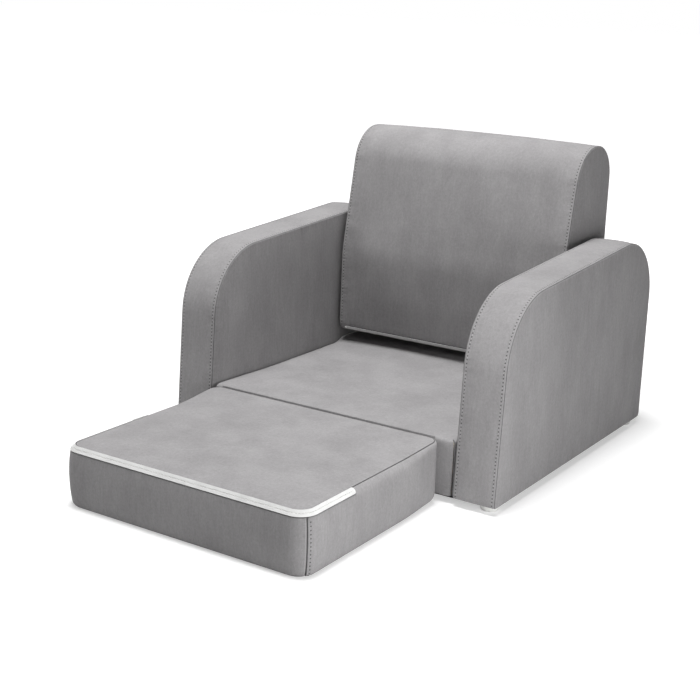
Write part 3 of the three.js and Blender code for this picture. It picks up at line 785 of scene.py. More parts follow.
@dataclass
class Seam:
    """A sewn line through points, and the way to its stitched side."""

    points: Array
    stitched: tuple[float, float, float]
    has_stitches: bool = True

    def __post_init__(self) -> None:
        """Measures the line."""
        self.runs = distances(self.points)

    def at(self, run: float) -> Array:
        """The point at a distance along the line."""
        return on_line(run, self.runs, self.points)

    def measure(self, spots: Array) -> tuple[Array, Array]:
        """Measures points against the line.

        Args:
            spots: The points.

        Returns:
            The distance along the line of each, and how far off it is, positive on the stitched side.
        """
        tree = KDTree(len(self.points))
        for number, point in enumerate(self.points):
            tree.insert(point, number)
        tree.balance()
        nearest = np.array([tree.find(spot)[1] for spot in spots])
        run, off = np.zeros(len(spots)), np.full(len(spots), np.inf)
        for shift in (-1, 0):
            start = np.clip(nearest + shift, 0, len(self.points) - 2)
            first, step = self.points[start], self.points[start + 1] - self.points[start]
            length = np.maximum((step * step).sum(axis=1), 1e-14)
            share = np.clip(((spots - first) * step).sum(axis=1) / length, 0.0, 1.0)
            away = spots - first - step * share[:, None]
            gap = np.linalg.norm(away, axis=1)
            side = np.where(away @ np.array(self.stitched) > 0.4 * gap, 1.0, -1.0)
            closer = gap < np.abs(off)
            off = np.where(closer, gap * side, off)
            run = np.where(closer, self.runs[start] + share * np.sqrt(length), run)
        return run, off


@dataclass
class ZipPath:
    """Three lines along a zip, from its parked end to its far end."""

    low: Array
    middle: Array
    high: Array
    end: float = 0.0030

    def __post_init__(self) -> None:
        """Measures the middle line and rounds off both ends of the tapes."""
        self.runs = distances(self.middle)
        near = np.clip(np.minimum(self.runs, self.runs[-1] - self.runs) / self.end, 0.1, 1.0)
        share = np.sqrt(1.0 - (1.0 - near) ** 2)[:, None]
        self.low = self.middle + (self.low - self.middle) * share
        self.high = self.middle + (self.high - self.middle) * share

    def along(self) -> Array:
        """The way the zip runs at each point."""
        return unit(np.gradient(self.middle, axis=0))

    def across(self) -> Array:
        """The way from the low edge to the high one."""
        return unit(self.high - self.low)


@dataclass
class PaddedForm:
    """A foam form in a tight cover: a band that follows an outline, and two crowned faces."""

    name: str = "cushion"
    cells: tuple[int, int, int] = (40, 40, 10)
    axes: tuple[int, int, int] = (0, 1, 2)
    corners: tuple[Corner, ...] = ()
    middle: Span = (0.0, 0.0)
    face_heights: Span = (0.0, 0.1)
    crown_power: float = 2.5
    start_crown: float = 0.35
    give: float = 0.0005
    wave: float = 0.0003
    gather: float = 0.0003
    groove: float = 0.0013
    seam_half: float = 0.0011
    groove_sides: Span = (0.0003, 0.0012)
    shoulder: Span = (0.0003, 0.003)
    gather_near: Span = (0.001, 0.004)
    gather_far: Span = (0.005, 0.026)
    gather_low: Span = (0.010, 0.030)
    folds: Span = (95.0, 14.0)
    wave_scales: Span = (21.0, 47.0)
    wave_low: Span = (BASE, 0.04)
    pressure: float = 4.0
    map_reach: float = 0.06
    held_below: float = 0.012
    sim_frames: int = 20
    rim_step: float = 0.8
    relaxing_steps: int = 600

    def __post_init__(self) -> None:
        """Draws the outline."""
        self.outline = Outline(self.corners)

    def rows(self, spots: Array, crown: float) -> tuple[Array, Array]:
        """Heights and swell of the band's rows at points of the outline."""
        raise NotImplementedError

    def put(self, flat: Array, height: Array) -> Array:
        """Places of points of the form."""
        raise NotImplementedError

    def is_sewn(self, ring: Array, row: Array) -> Array:
        """Whether the two ends of an edge, given as pairs, are sewn together."""
        raise NotImplementedError

    def seams(self) -> list[Seam]:
        """The sewn lines of the cover."""
        raise NotImplementedError

    def ring_distances(self) -> Array:
        """Distances along the outline of the band's points, side after side."""
        first, second, _ = self.cells
        counts = (first, second, first, second)
        return np.concatenate(
            [self.outline.side(number, np.arange(count) / count) for number, count in enumerate(counts)]
        )

    def block(self) -> bpy.types.Object:
        """A block, one unit wide each way, cut into cells, which becomes the form."""
        piece = added(self.name, bpy.ops.mesh.primitive_cube_add, size=1.0, location=(0.5, 0.5, 0.5))
        for axis, count in zip(self.axes, self.cells):
            with editing(piece):
                pick(piece, Pick.EDGE, lambda e: abs((e.verts[0].co - e.verts[1].co)[axis]) > 0.9)
                bpy.ops.mesh.subdivide(number_cuts=count - 1)
        steps = np.rint(places(piece)[:, list(self.axes)] * np.array(self.cells)).astype(int)
        first, second, across = self.cells
        i, j, row = steps.T
        on_band = (i == 0) | (i == first) | (j == 0) | (j == second)
        ring = np.select(
            [j == 0, i == first, j == second, i == 0],
            [i, first + j, 2 * first + second - i, 2 * first + 2 * second - j],
            -1,
        )
        total = 2 * (first + second)
        self.i, self.j, self.row = i, j, row
        self.on_band = on_band
        self.ring = np.where(on_band, np.mod(ring, total), -1)
        self.number = np.zeros((across + 1, total), int)
        self.number[row[on_band], self.ring[on_band]] = np.flatnonzero(on_band)
        return piece

    def line(self, spots: Sequence[tuple], way: tuple, has_stitches: bool, closed: bool = False) -> Seam:
        """A seam through points of the band, given as ring and row."""
        numbers = [self.number[row, ring] for ring, row in spots]
        return Seam(spline(self.full[numbers], closed), way, has_stitches)

    def loop(self, row: int, way: tuple, has_stitches: bool = True) -> Seam:
        """A seam all along a row of the band."""
        rings = range(self.number.shape[1])
        return self.line([(ring, row) for ring in rings], way, has_stitches, closed=True)

    def column(self, ring: int, rows: Sequence[int], way: tuple, has_stitches: bool) -> Seam:
        """A seam across the band."""
        return self.line([(ring, row) for row in rows], way, has_stitches)

    def shape(self, crown: float) -> Array:
        """Places of the form's points.

        Args:
            crown: How full the form is, from nought to one.

        Returns:
            One row for each point.
        """
        across = self.cells[2]
        runs = self.ring_distances()
        spots, ways = self.outline.at(runs), self.outline.normal(runs)
        heights, swell = self.rows(spots, crown)
        flat = np.zeros((len(self.i), 2))
        height = np.zeros(len(self.i))
        band = self.on_band
        ring, row = self.ring[band], self.row[band]
        flat[band] = spots[ring] + ways[ring] * swell[row, ring][:, None]
        height[band] = heights[row, ring]
        for end, top in zip((0, across), self.face_heights):
            rim = spots + ways * swell[end][:, None]
            inner = ~band & (self.row == end)
            flat[inner] = self._filled(rim, ways)[self.i[inner], self.j[inner]]
            arms = rim - np.array(self.middle)
            angles = np.arctan2(arms[:, 1], arms[:, 0])
            order = np.argsort(angles)
            here = flat[inner] - np.array(self.middle)
            turn = np.arctan2(here[:, 1], here[:, 0])
            reach = np.interp(turn, angles[order], np.linalg.norm(arms, axis=1)[order], period=2 * math.pi)
            edge = np.interp(turn, angles[order], heights[end][order], period=2 * math.pi)
            share = np.clip(1.0 - np.linalg.norm(here, axis=1) / reach, 0.0, 1.0)
            rise = 1.0 - (1.0 - share) ** self.crown_power
            height[inner] = edge + (top - edge) * rise * crown
        return self.put(flat, height)

    def _sides(self, rows: Array) -> tuple[Array, Array, Array, Array]:
        """Rows of the rim along the low, right, upper and left sides of a face."""
        first, second, _ = self.cells
        low, right = rows[: first + 1], rows[first : first + second + 1]
        high = rows[first + second : 2 * first + second + 1][::-1]
        return low, right, high, np.vstack([rows[2 * first + second :], rows[:1]])[::-1]

    def _filled(self, rim: Array, ways: Array) -> Array:
        """Points of a face between its rim, spread evenly, with the first row at an even distance from it."""
        first, second, _ = self.cells
        bottom, right, top, left = self._sides(rim)
        u, v = np.linspace(0, 1, first + 1)[:, None, None], np.linspace(0, 1, second + 1)[None, :, None]
        grid = (1 - v) * bottom[:, None] + v * top[:, None] + (1 - u) * left[None] + u * right[None]
        grid -= (1 - u) * (1 - v) * bottom[0] + u * (1 - v) * bottom[-1] + (1 - u) * v * top[0]
        grid -= u * v * top[-1]
        step = float(np.linalg.norm(np.diff(rim, axis=0), axis=1).mean()) * self.rim_step
        low, far, high, near = self._sides(rim - ways * step)
        grid[1:-1, 1], grid[1:-1, -2] = low[1:-1], high[1:-1]
        grid[1, 1:-1], grid[-2, 1:-1] = near[1:-1], far[1:-1]
        for i, j, rows, corner in ((1, 1, low, 0), (-2, 1, low, -1), (1, -2, high, 0), (-2, -2, high, -1)):
            grid[i, j] = rows[corner]
        for _ in range(self.relaxing_steps):
            grid[2:-2, 2:-2] = (grid[1:-3, 2:-2] + grid[3:-1, 2:-2] + grid[2:-2, 1:-3] + grid[2:-2, 3:-1]) / 4
        return grid

    def make(self) -> bpy.types.Object:
        """Models the cover: a block shaped to the slack form, filled, and sewn."""
        piece = self.block()
        slack, full = self.shape(self.start_crown), self.shape(1.0)
        self.full = full
        move_to(piece, slack)
        with editing(piece):
            bpy.ops.mesh.select_all(action="SELECT")
            bpy.ops.mesh.normals_make_consistent(inside=False)
            pairs = {tuple(sorted(edge.vertices)) for edge in piece.data.edges}
            sewn = self._sewn_pairs(pairs)
            pick(
                piece,
                Pick.EDGE,
                lambda e: tuple(sorted((e.verts[0].index, e.verts[1].index))) in sewn,
            )
            bpy.ops.mesh.mark_seam(clear=False)
            bpy.ops.transform.edge_crease(value=1.0)
        self.fill(piece, slack, full, sewn)
        finish_with(piece, "SUBSURF", levels=1, render_levels=1)
        self.sew(piece)
        smooth(piece)
        return piece

    def _sewn_pairs(self, pairs: set) -> set:
        """The edges of the block that are sewn, as pairs of points."""
        listed = np.array(sorted(pairs))
        on_band = (self.ring[listed] >= 0).all(axis=1)
        sewn = on_band & self.is_sewn(self.ring[listed], self.row[listed])
        return {tuple(pair) for pair in listed[sewn].tolist()}

    def fill(self, piece: bpy.types.Object, slack: Array, full: Array, sewn: set) -> None:
        """Fills the slack cover from inside, as far as the full form.

        Args:
            piece: The cover.
            slack: Its points before.
            full: Its points when it is full.
            sewn: The edges that hold it.
        """
        ways = outward(piece)
        limit = np.maximum(((full - slack) * ways).sum(axis=1), 0.0) + 0.0001
        held = slack[:, 2] < self.held_below
        held[np.unique(np.array(sorted(sewn)).ravel())] = True
        group = piece.vertex_groups.new(name="held")
        group.add(np.flatnonzero(held).tolist(), 1.0, "REPLACE")
        activate(piece)
        cloth = piece.modifiers.new("filling", "CLOTH")
        settings = cloth.settings
        settings.vertex_group_mass = group.name
        settings.use_pressure = True
        settings.uniform_pressure_force = self.pressure
        settings.effector_weights.gravity = 0.0
        settings.quality = 4
        cloth.collision_settings.use_self_collision = False
        cloth.point_cache.frame_start, cloth.point_cache.frame_end = 1, self.sim_frames
        for number in range(1, self.sim_frames + 1):
            bpy.context.scene.frame_set(number)
        bpy.ops.object.modifier_apply(modifier=cloth.name)
        piece.vertex_groups.clear()
        bpy.context.scene.frame_set(1)
        rise = ((places(piece) - slack) * ways).sum(axis=1)
        capped = limit * np.tanh(np.maximum(rise, 0.0) / limit)
        capped = np.maximum(capped, limit - self.give)
        spots = [Vector(spot) for spot in full]
        long, short = self.wave_scales
        waves = np.array([noise.noise(spot * long) + 0.4 * noise.noise(spot * short) for spot in spots])
        capped = capped - self.wave * np.clip(0.5 + waves, 0.0, 1.3) * eased(full[:, 2], *self.wave_low)
        capped[held] = 0.0
        spots = slack + ways * capped[:, None]
        spots[held] = full[held]
        move_to(piece, spots)

    def sew(self, piece: bpy.types.Object) -> None:
        """Cuts fine loops along the seams, draws them in and lays out the seam map."""
        with editing(piece):
            if pick(piece, Pick.EDGE, lambda e: e.seam):
                bpy.ops.mesh.bevel(offset_type="OFFSET", offset=self.seam_half, segments=4, affect="EDGES")
        spots, ways = places(piece), outward(piece)
        seams = self.seams()
        runs, offs = (np.array(rows) for rows in zip(*(seam.measure(spots) for seam in seams)))
        owner = np.argmin(np.abs(offs), axis=0)
        run, off = (rows[owner, np.arange(len(spots))] for rows in (runs, offs))
        away = np.abs(off)
        drop, reach = self.shoulder
        depth = self.groove * (1.0 - eased(away, *self.groove_sides)) + drop * np.exp(-((away / reach) ** 2))
        near = eased(away, *self.gather_near) * (1.0 - eased(away, *self.gather_far))
        near = near * eased(spots[:, 2], *self.gather_low)
        spans = zip(run * self.folds[0], off * self.folds[1], near)
        folds = [noise.noise(Vector((a, b, 0.0))) if c > 0 else 0.0 for a, b, c in spans]
        depth += self.gather * near * np.clip(0.4 + np.array(folds), 0.0, 1.0)
        move_to(piece, spots - ways * depth[:, None])
        self._map_seams(piece, runs, offs, owner, np.array([seam.runs[-1] for seam in seams]))

    def _map_seams(
        self, piece: bpy.types.Object, runs: Array, offs: Array, owner: Array, lengths: Array
    ) -> None:
        """Writes each corner's place along and off its face's nearest seam as a UV map.

        Args:
            piece: The sewn cover.
            runs: Each point's distance along each seam.
            offs: Each point's distance off each seam, with its side as the sign.
            owner: Each point's nearest seam.
            lengths: The seams' lengths.
        """
        corners = corners_of(piece)
        starts = read(piece.data.polygons, "loop_start", 1, np.int32)
        face = np.repeat(np.arange(len(starts)), np.diff(np.append(starts, len(corners))))
        nearest = np.abs(offs)[owner[corners], corners]
        least = np.minimum.reduceat(nearest, starts)
        chosen = np.zeros(len(starts), int)
        closest = np.flatnonzero(nearest <= least[face])
        chosen[face[closest]] = owner[corners[closest]]
        seam = chosen[face]
        here, off, whole = runs[seam, corners], offs[seam, corners], lengths[seam]
        first = here[starts][face]
        here = np.where(here - first > whole / 2, here - whole, here)
        here = np.where(first - here > whole / 2, here + whole, here)
        beyond = np.minimum.reduceat(np.abs(off), starts)[face] > self.groove_sides[1]
        off = np.where(beyond, np.abs(off) * np.sign(off[starts][face]), off)
        bare = ~np.array([kept.has_stitches for kept in self.seams()])
        off = np.where(bare[seam], -np.abs(off), off)
        lay_map(piece, "seams", np.stack([here, np.clip(off, -self.map_reach, self.map_reach)], axis=1))


def stitched(seams: Sequence[Seam], cover: bpy.types.Object, name: str) -> bpy.types.Object:
    """Sews a row of stitches beside each seam that has them.

    Args:
        seams: The seams.
        cover: The cover that they are sewn through.
        name: Name of the new piece.

    Returns:
        All stitches as one piece.
    """
    mesh = bmesh.new()
    mesh.from_mesh(cover.data)
    tree = BVHTree.FromBMesh(mesh)
    mesh.free()
    frames: list[Matrix] = []
    for seam in seams:
        if not seam.has_stitches:
            continue
        for number in range(int(seam.runs[-1] / STITCH_PITCH)):
            run = (number + 0.5) * STITCH_PITCH
            spot = seam.at(run)
            place, normal, _, _ = tree.find_nearest(Vector(spot + np.array(seam.stitched) * STITCH_OFF))
            along = seam.at(run + 0.001) - seam.at(run - 0.001)
            frames.append(standing(along, np.cross(np.array(normal), unit(along)), np.array(place)))
    lying, dip = (0.0, math.pi / 2, 0.0), (0.0, 0.0, -STITCH_DIP)
    shape = {"vertices": 6, "radius": STITCH_RADIUS, "depth": STITCH_LENGTH, "rotation": lying}
    thread = added("stitch", bpy.ops.mesh.primitive_cylinder_add, **shape)
    with editing(thread):
        pick(thread, Pick.EDGE, lambda e: abs(e.verts[0].co.x - e.verts[1].co.x) > STITCH_LENGTH / 3)
        bpy.ops.mesh.subdivide(number_cuts=2)
        pick(thread, Pick.VERT, lambda v: abs(v.co.x) > STITCH_LENGTH / 3)
        bpy.ops.transform.translate(value=dip)
        bpy.ops.transform.resize(value=(1.0, 0.6, 0.6), center_override=dip)
    piece = repeated(thread, name, frames)
    smooth(piece)
    return piece


PLYWOOD = Wood("plywood", (0.66, 0.48, 0.29), (0.45, 0.30, 0.15), (1.0, 0.07, 0.5), 0.0015)
PINE = Wood("pine", (0.78, 0.61, 0.40), (0.55, 0.36, 0.19), (0.6, 0.08, 1.0))


@dataclass(frozen=True)
class Finishes:
    """All materials of the sofa, built once."""

    suede: bpy.types.Material = field(default_factory=Suede().material)
    tape: bpy.types.Material = field(default_factory=Tape().material)
    thread: bpy.types.Material = field(default_factory=Thread().material)
    foam: bpy.types.Material = field(default_factory=Foam().material)
    plywood: bpy.types.Material = field(default_factory=PLYWOOD.material)
    pine: bpy.types.Material = field(default_factory=PINE.material)
    lining: bpy.types.Material = field(default_factory=Lining().material)
    plastic: bpy.types.Material = field(default_factory=Plastic().material)
    steel: bpy.types.Material = field(default_factory=Steel().material)


# Cushions


class Side(Enum):
    """The sides of the sofa, as seen from the front, with the way each lies."""

    LEFT = -1
    RIGHT = 1

    @property
    def label(self) -> str:
        """The side as it stands in names."""
        return self.name.lower()


def fills_out(share: Array) -> Array:
    """How far a band swells at shares of the way between its seams."""
    return 1.0 - np.abs(2.0 * share - 1.0) ** 2.5


def own(
    piece: bpy.types.Object, body: str, material: bpy.types.Material, slot: str, *nodes: str
) -> bpy.types.Object:
    """Dresses a new piece, lets it ride on a body and hides the CAD nodes that it stands for."""
    dress(piece, material)
    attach(piece, body)
    if nodes:
        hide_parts(*nodes)
    log.info("%s: %d faces, rides on %s", piece.name, len(piece.data.polygons), body)
    return piece


@dataclass
class BandedForm(PaddedForm):
    """An upright form: two side panels and a band that runs over its front, top and back."""

    axes: tuple[int, int, int] = (1, 2, 0)
    half_seam: float = 0.031
    band_crown: float = 0.002
    fade: Span = (0.0095, 0.0695)

    def rows(self, spots: Array, crown: float) -> tuple[Array, Array]:
        """Heights and swell of the band's rows at points of the outline."""
        share = np.linspace(0.0, 1.0, self.cells[2] + 1)[:, None]
        heights = np.broadcast_to((2.0 * share - 1.0) * self.half_seam, (len(share), len(spots)))
        return heights, fills_out(share) * self.band_crown * crown * eased(spots[:, 1], *self.fade)

    def is_sewn(self, ring: Array, row: Array) -> Array:
        """Both edges of the band are sewn."""
        return (row[:, 0] == row[:, 1]) & np.isin(row[:, 0], (0, self.cells[2]))

    def band_seams(self, way: float) -> list[Seam]:
        """The band's two seams, stitched on the band, the first of them towards a way along X."""
        return [self.loop(0, (way, 0.0, 0.0)), self.loop(self.cells[2], (-way, 0.0, 0.0))]


@dataclass
class Arm(BandedForm):
    """One arm: two panels and a band that runs round the front, the top and the back."""

    side: Side = Side.RIGHT
    cells: tuple[int, int, int] = (84, 50, 12)
    corners: tuple[Corner, ...] = (
        Corner(0.0, BASE, 0.003),
        Corner(0.480, BASE, 0.003),
        Corner(0.480, 0.3005, 0.094),
        Corner(0.018, 0.273, 0.100),
    )
    middle: Span = (0.240, 0.1365)
    face_heights: Span = (-0.033, 0.033)
    gather: float = 0.0005
    centre: float = 0.232

    def put(self, flat: Array, height: Array) -> Array:
        """Places of points of the arm."""
        across = self.side.value * (self.centre + height)
        return np.stack([across, flat[:, 0] + FRONT, flat[:, 1]], axis=1)

    def seams(self) -> list[Seam]:
        """The band's two seams."""
        return self.band_seams(float(self.side.value))

    def build(self, finishes: Finishes) -> None:
        """Makes the arm and its stitches."""
        name = f"arm_{self.side.label}"
        self.name = f"{name}_cushion"
        cushion = self.make()
        covers = [f"{name}_cover_{part}" for part in ("inner", "outer", "band")]
        own(cushion, "sofa", finishes.suede, "fabric", *covers)
        own(stitched(self.seams(), cushion, f"{name}_stitches"), "sofa", finishes.thread, "fabric")


@dataclass
class Seat(PaddedForm):
    """The seat base in its cover."""

    name: str = "seat_cushion"
    cells: tuple[int, int, int] = (66, 78, 12)
    axes: tuple[int, int, int] = (0, 1, 2)
    corners: tuple[Corner, ...] = (
        Corner(-0.1987, 0.006, 0.008),
        Corner(0.1987, 0.006, 0.008),
        Corner(0.1987, 0.470, 0.008),
        Corner(-0.1987, 0.470, 0.008),
    )
    middle: Span = (0.0, 0.238)
    face_heights: Span = (BASE, 0.088)
    wall_cells: int = 9
    side_height: float = 0.083
    front_height: float = 0.0865
    edge_rise: float = 0.157
    edge_radius: float = 0.005
    bulge: float = 0.007
    bulge_from: Span = (0.313, 0.335)

    def rows(self, spots: Array, crown: float) -> tuple[Array, Array]:
        """Heights and swell of the wall's rows at points of the outline."""
        front = spots[:, 1].min()
        to_front = 1.0 - eased(spots[:, 1], front, front + self.edge_rise)
        top = self.side_height + (self.front_height - self.side_height) * to_front
        heights, swell = [], []
        for row in range(self.cells[2] + 1):
            share = min(row / self.wall_cells, 1.0) ** 1.8
            turn = max(row - self.wall_cells, 0) / (self.cells[2] - self.wall_cells) * math.pi / 2
            wall = self.face_heights[0] + (top - self.edge_radius - self.face_heights[0]) * share
            heights.append(wall + self.edge_radius * math.sin(turn))
            swell.append(np.full(len(spots), -self.edge_radius * (1.0 - math.cos(turn))))
        return np.array(heights), np.array(swell)

    def put(self, flat: Array, height: Array) -> Array:
        """Places of points of the seat, which bulges under the backrest, where nothing ever lies on it."""
        rise = self.bulge * eased(flat[:, 1], *self.bulge_from) * eased(height, 0.05, self.side_height)
        return np.stack([flat[:, 0], flat[:, 1] + FRONT, height + rise], axis=1)

    def is_sewn(self, ring: Array, row: Array) -> Array:
        """The cover is sewn at its four upright corners."""
        return (ring[:, 0] == ring[:, 1]) & np.isin(ring[:, 0], self.corner_rings())

    def corner_rings(self) -> list[int]:
        """The four corners' columns of points."""
        first, second, _ = self.cells
        return [0, first, first + second, 2 * first + second]

    def seams(self) -> list[Seam]:
        """The upright corner seams."""
        ways = ((1.0, 0.0, 0.0), (-1.0, 0.0, 0.0), (-1.0, 0.0, 0.0), (1.0, 0.0, 0.0))
        rows = range(self.cells[2] + 1)
        return [self.column(ring, rows, way, False) for ring, way in zip(self.corner_rings(), ways)]

    def build(self, finishes: Finishes) -> None:
        """Makes the seat."""
        cushion = self.make()
        own(cushion, "sofa", finishes.suede, "fabric", "seat_cover")


@dataclass
class Backrest(BandedForm):
    """The backrest: a band over its front, top and back, two side panels, and a zip at the lower front."""

    name: str = "backrest_cushion"
    cells: tuple[int, int, int] = (30, 62, 76)
    corners: tuple[Corner, ...] = (
        Corner(0.315, 0.104, 0.014),
        Corner(0.462, 0.104, 0.014),
        Corner(0.462, 0.427, 0.050),
        Corner(0.356, 0.427, 0.060),
        Corner(0.317, 0.235, 0.200, False),
    )
    middle: Span = (0.409, 0.2655)
    face_heights: Span = (-0.196, 0.196)
    gather: float = 0.0007
    half_seam: float = 0.191
    band_crown: float = 0.003
    fade: Span = (0.118, 0.178)
    low_corner: float = 0.006
    held_below: float = 0.0
    zip_cells: int = 2
    zip_end_rows: int = 2

    def ring_distances(self) -> Array:
        """Distances along the outline, with the front's last cells laid under the zip."""
        runs = super().ring_distances()
        second = self.cells[1]
        start, end = self.outline.marks[3], self.outline.length
        plain = np.linspace(start, end, second - self.zip_cells + 1)
        under = end + self.outline.marks[0] * np.arange(1, self.zip_cells) / self.zip_cells
        runs[-second:] = np.concatenate([plain, under])
        return runs

    def put(self, flat: Array, height: Array) -> Array:
        """Places of points of the backrest, with its lower side corners rounded."""
        low = self.corners[0].up + self.low_corner
        drop = np.clip((low - flat[:, 1]) / self.low_corner, 0.0, 1.0)
        near = 1.0 - self.low_corner * (1.0 - np.sqrt(1.0 - drop**2)) / self.half_seam
        return np.stack([height * near, flat[:, 0] + FRONT, flat[:, 1]], axis=1)

    def is_sewn(self, ring: Array, row: Array) -> Array:
        """Both edges of the band are sewn, and the zip's tapes along their edges."""
        lines = np.isin(ring[:, 0], (0, self.zip_ring())) & (ring[:, 0] == ring[:, 1])
        inside = (row >= self.zip_end_rows) & (row <= self.cells[2] - self.zip_end_rows)
        return super().is_sewn(ring, row) | (lines & inside.all(axis=1))

    def zip_ring(self) -> int:
        """The column of points along the zip's upper edge."""
        return 2 * (self.cells[0] + self.cells[1]) - 1

    def seams(self) -> list[Seam]:
        """The band's seams, stitched on the band, and the lines of the zip."""
        rows = range(self.zip_end_rows, self.cells[2] - self.zip_end_rows + 1)
        down = (0.0, 0.0, -1.0)
        lines = [self.column(ring, rows, down, False) for ring in (0, self.zip_ring())]
        return [*self.band_seams(1.0), *lines]

    def zip_path(self) -> ZipPath:
        """The zip, from its right end to its left end."""
        x = np.linspace(1.0, -1.0, 300) * (self.half_seam * (1.0 - 2.0 * self.zip_end_rows / self.cells[2]))
        lines = []
        for share in (0.5, 0.75, 1.0):
            run = np.array([share * self.outline.marks[0]])
            y, z = self.outline.at(run)[0]
            lines.append(np.stack([x, np.full_like(x, y + FRONT), np.full_like(x, z)], axis=1))
        return ZipPath(*lines)

    def build(self, finishes: Finishes) -> None:
        """Makes the backrest, its stitches and its zip."""
        cushion = self.make()
        covers = [f"backrest_cover_{part}" for part in ("band", "left", "right")]
        own(cushion, "sofa", finishes.suede, "fabric", *covers)
        own(stitched(self.seams(), cushion, "backrest_stitches"), "sofa", finishes.thread, "fabric")
        Zip("backrest", "sofa", "backrest_slider", self.zip_path()).build(finishes)


@dataclass
class Footrest(PaddedForm):
    """The footrest: a top panel, a boxing, and a zip round the front between them."""

    name: str = "footrest_cushion"
    cells: tuple[int, int, int] = (72, 62, 18)
    axes: tuple[int, int, int] = (0, 1, 2)
    corners: tuple[Corner, ...] = (
        Corner(-0.193, -0.2994, 0.024, share=0.4),
        Corner(0.181, -0.2994, 0.024, share=0.6),
        Corner(0.181, 0.0046, 0.018),
        Corner(-0.193, 0.0046, 0.018),
    )
    middle: Span = (-0.006, -0.1474)
    face_heights: Span = (0.0, 0.088)
    gather: float = 0.0004
    bottom_cells: int = 4
    zip_cells: int = 2
    edge_height: float = 0.082
    rear_edge_height: float = 0.0865
    edge_rise: float = 0.090
    bottom_radius: float = 0.008
    rear_bottom_radius: float = 0.015
    wall_crown: float = 0.003
    zip_slope: float = 0.00636
    zip_left_end: float = -0.1444
    zip_right_end: float = -0.196
    held_below: float = 0.004

    def edge(self, spots: Array) -> tuple[Array, Array, Array, Array]:
        """Height of the top edge, slope under it, radius at the bottom and crown of the wall at points."""
        rear = self.corners[2].up
        to_rear = eased(spots[:, 1], rear - self.edge_rise, rear)
        top = self.edge_height + (self.rear_edge_height - self.edge_height) * to_rear
        slope = self.zip_slope * (1.0 - to_rear / 2)
        radius = self.bottom_radius + (self.rear_bottom_radius - self.bottom_radius) * to_rear
        return top, slope, radius, self.wall_crown * (1.0 - to_rear)

    def rows(self, spots: Array, crown: float) -> tuple[Array, Array]:
        """Heights and swell of the wall's rows at points of the outline."""
        top, slope, radius, full = self.edge(spots)
        heights, swell = [], []
        wall_cells = self.cells[2] - self.bottom_cells - self.zip_cells
        for row in range(self.cells[2] + 1):
            turn = min(row / self.bottom_cells, 1.0) * math.pi / 2
            share = min(max(row - self.bottom_cells, 0) / wall_cells, 1.0)
            up = max(row - self.bottom_cells - wall_cells, 0) / self.zip_cells
            wall = radius * (1.0 - math.cos(turn)) + (top - slope - radius) * share + slope * up
            heights.append(wall)
            crowned = full * crown * fills_out(np.array(share))
            swell.append(crowned - radius * (1.0 - math.sin(turn)) - slope * up)
        return np.array(heights), np.array(swell)

    def put(self, flat: Array, height: Array) -> Array:
        """Places of points of the footrest."""
        return np.stack([flat[:, 0], flat[:, 1] + FRONT, height], axis=1)

    def zip_runs(self) -> Array:
        """Distances along the outline under the zip, from its left end to its right end."""
        runs = np.linspace(0.0, self.outline.length, 20001)
        spots = self.outline.at(runs)
        ends = (self.corners[0].along, self.zip_left_end), (self.corners[1].along, self.zip_right_end)
        left, right = (runs[np.argmin(np.linalg.norm(spots - np.array(end), axis=1))] for end in ends)
        return np.linspace(left - self.outline.length, right, 400)

    def is_sewn(self, ring: Array, row: Array) -> Array:
        """The top edge is sewn all round, the zip's lower edge, and the boxing at its front corners."""
        low = self.cells[2] - self.zip_cells
        rim = (row[:, 0] == row[:, 1]) & (row[:, 0] == self.cells[2])
        zipped = (row[:, 0] == row[:, 1]) & (row[:, 0] == low) & np.isin(ring, self.zip_rings()).all(axis=1)
        upright = (ring[:, 0] == ring[:, 1]) & np.isin(ring[:, 0], (0, self.cells[0]))
        return rim | zipped | (upright & (row.max(axis=1) <= low))

    def zip_rings(self) -> list[int]:
        """The columns of points under the zip, in order from its left end."""
        runs = self.ring_distances()
        span = self.zip_runs()
        total = len(runs)
        before = [ring for ring in range(total) if runs[ring] - self.outline.length > span[0]]
        after = [ring for ring in range(total) if runs[ring] < span[-1]]
        return before + after

    def seams(self) -> list[Seam]:
        """The top seam, the lines of the zip and the two corner seams."""
        top = self.cells[2]
        low = top - self.zip_cells
        rings = self.zip_rings()
        down = (0.0, 0.0, -1.0)
        rows = range(low + 1)
        return [
            self.loop(top, down, False),
            self.line([(ring, low) for ring in rings], down, False),
            self.line([(ring, top - 1) for ring in rings], down, False),
            self.column(self.cells[0], rows, (0.6, 0.8, 0.0), True),
            self.column(0, rows, (-0.6, 0.8, 0.0), True),
        ]

    def zip_path(self) -> ZipPath:
        """The zip, from its left end round the front to its right end."""
        runs = self.zip_runs()
        spots, ways = self.outline.at(runs), self.outline.normal(runs)
        top, slope, _, _ = self.edge(spots)
        lines = []
        for up in (0.0, 0.5, 1.0):
            lines.append(self.put(spots - ways * (slope * up)[:, None], top - slope * (1.0 - up)))
        return ZipPath(*lines)

    def build(self, finishes: Finishes) -> None:
        """Makes the footrest, its stitches and its zip."""
        cushion = self.make()
        own(cushion, "footrest", finishes.suede, "fabric", "footrest_cover_top", "footrest_cover_boxing")
        own(stitched(self.seams(), cushion, "footrest_stitches"), "footrest", finishes.thread, "fabric")
        Zip("footrest", "footrest", "footrest_slider", self.zip_path()).build(finishes)


# Zips


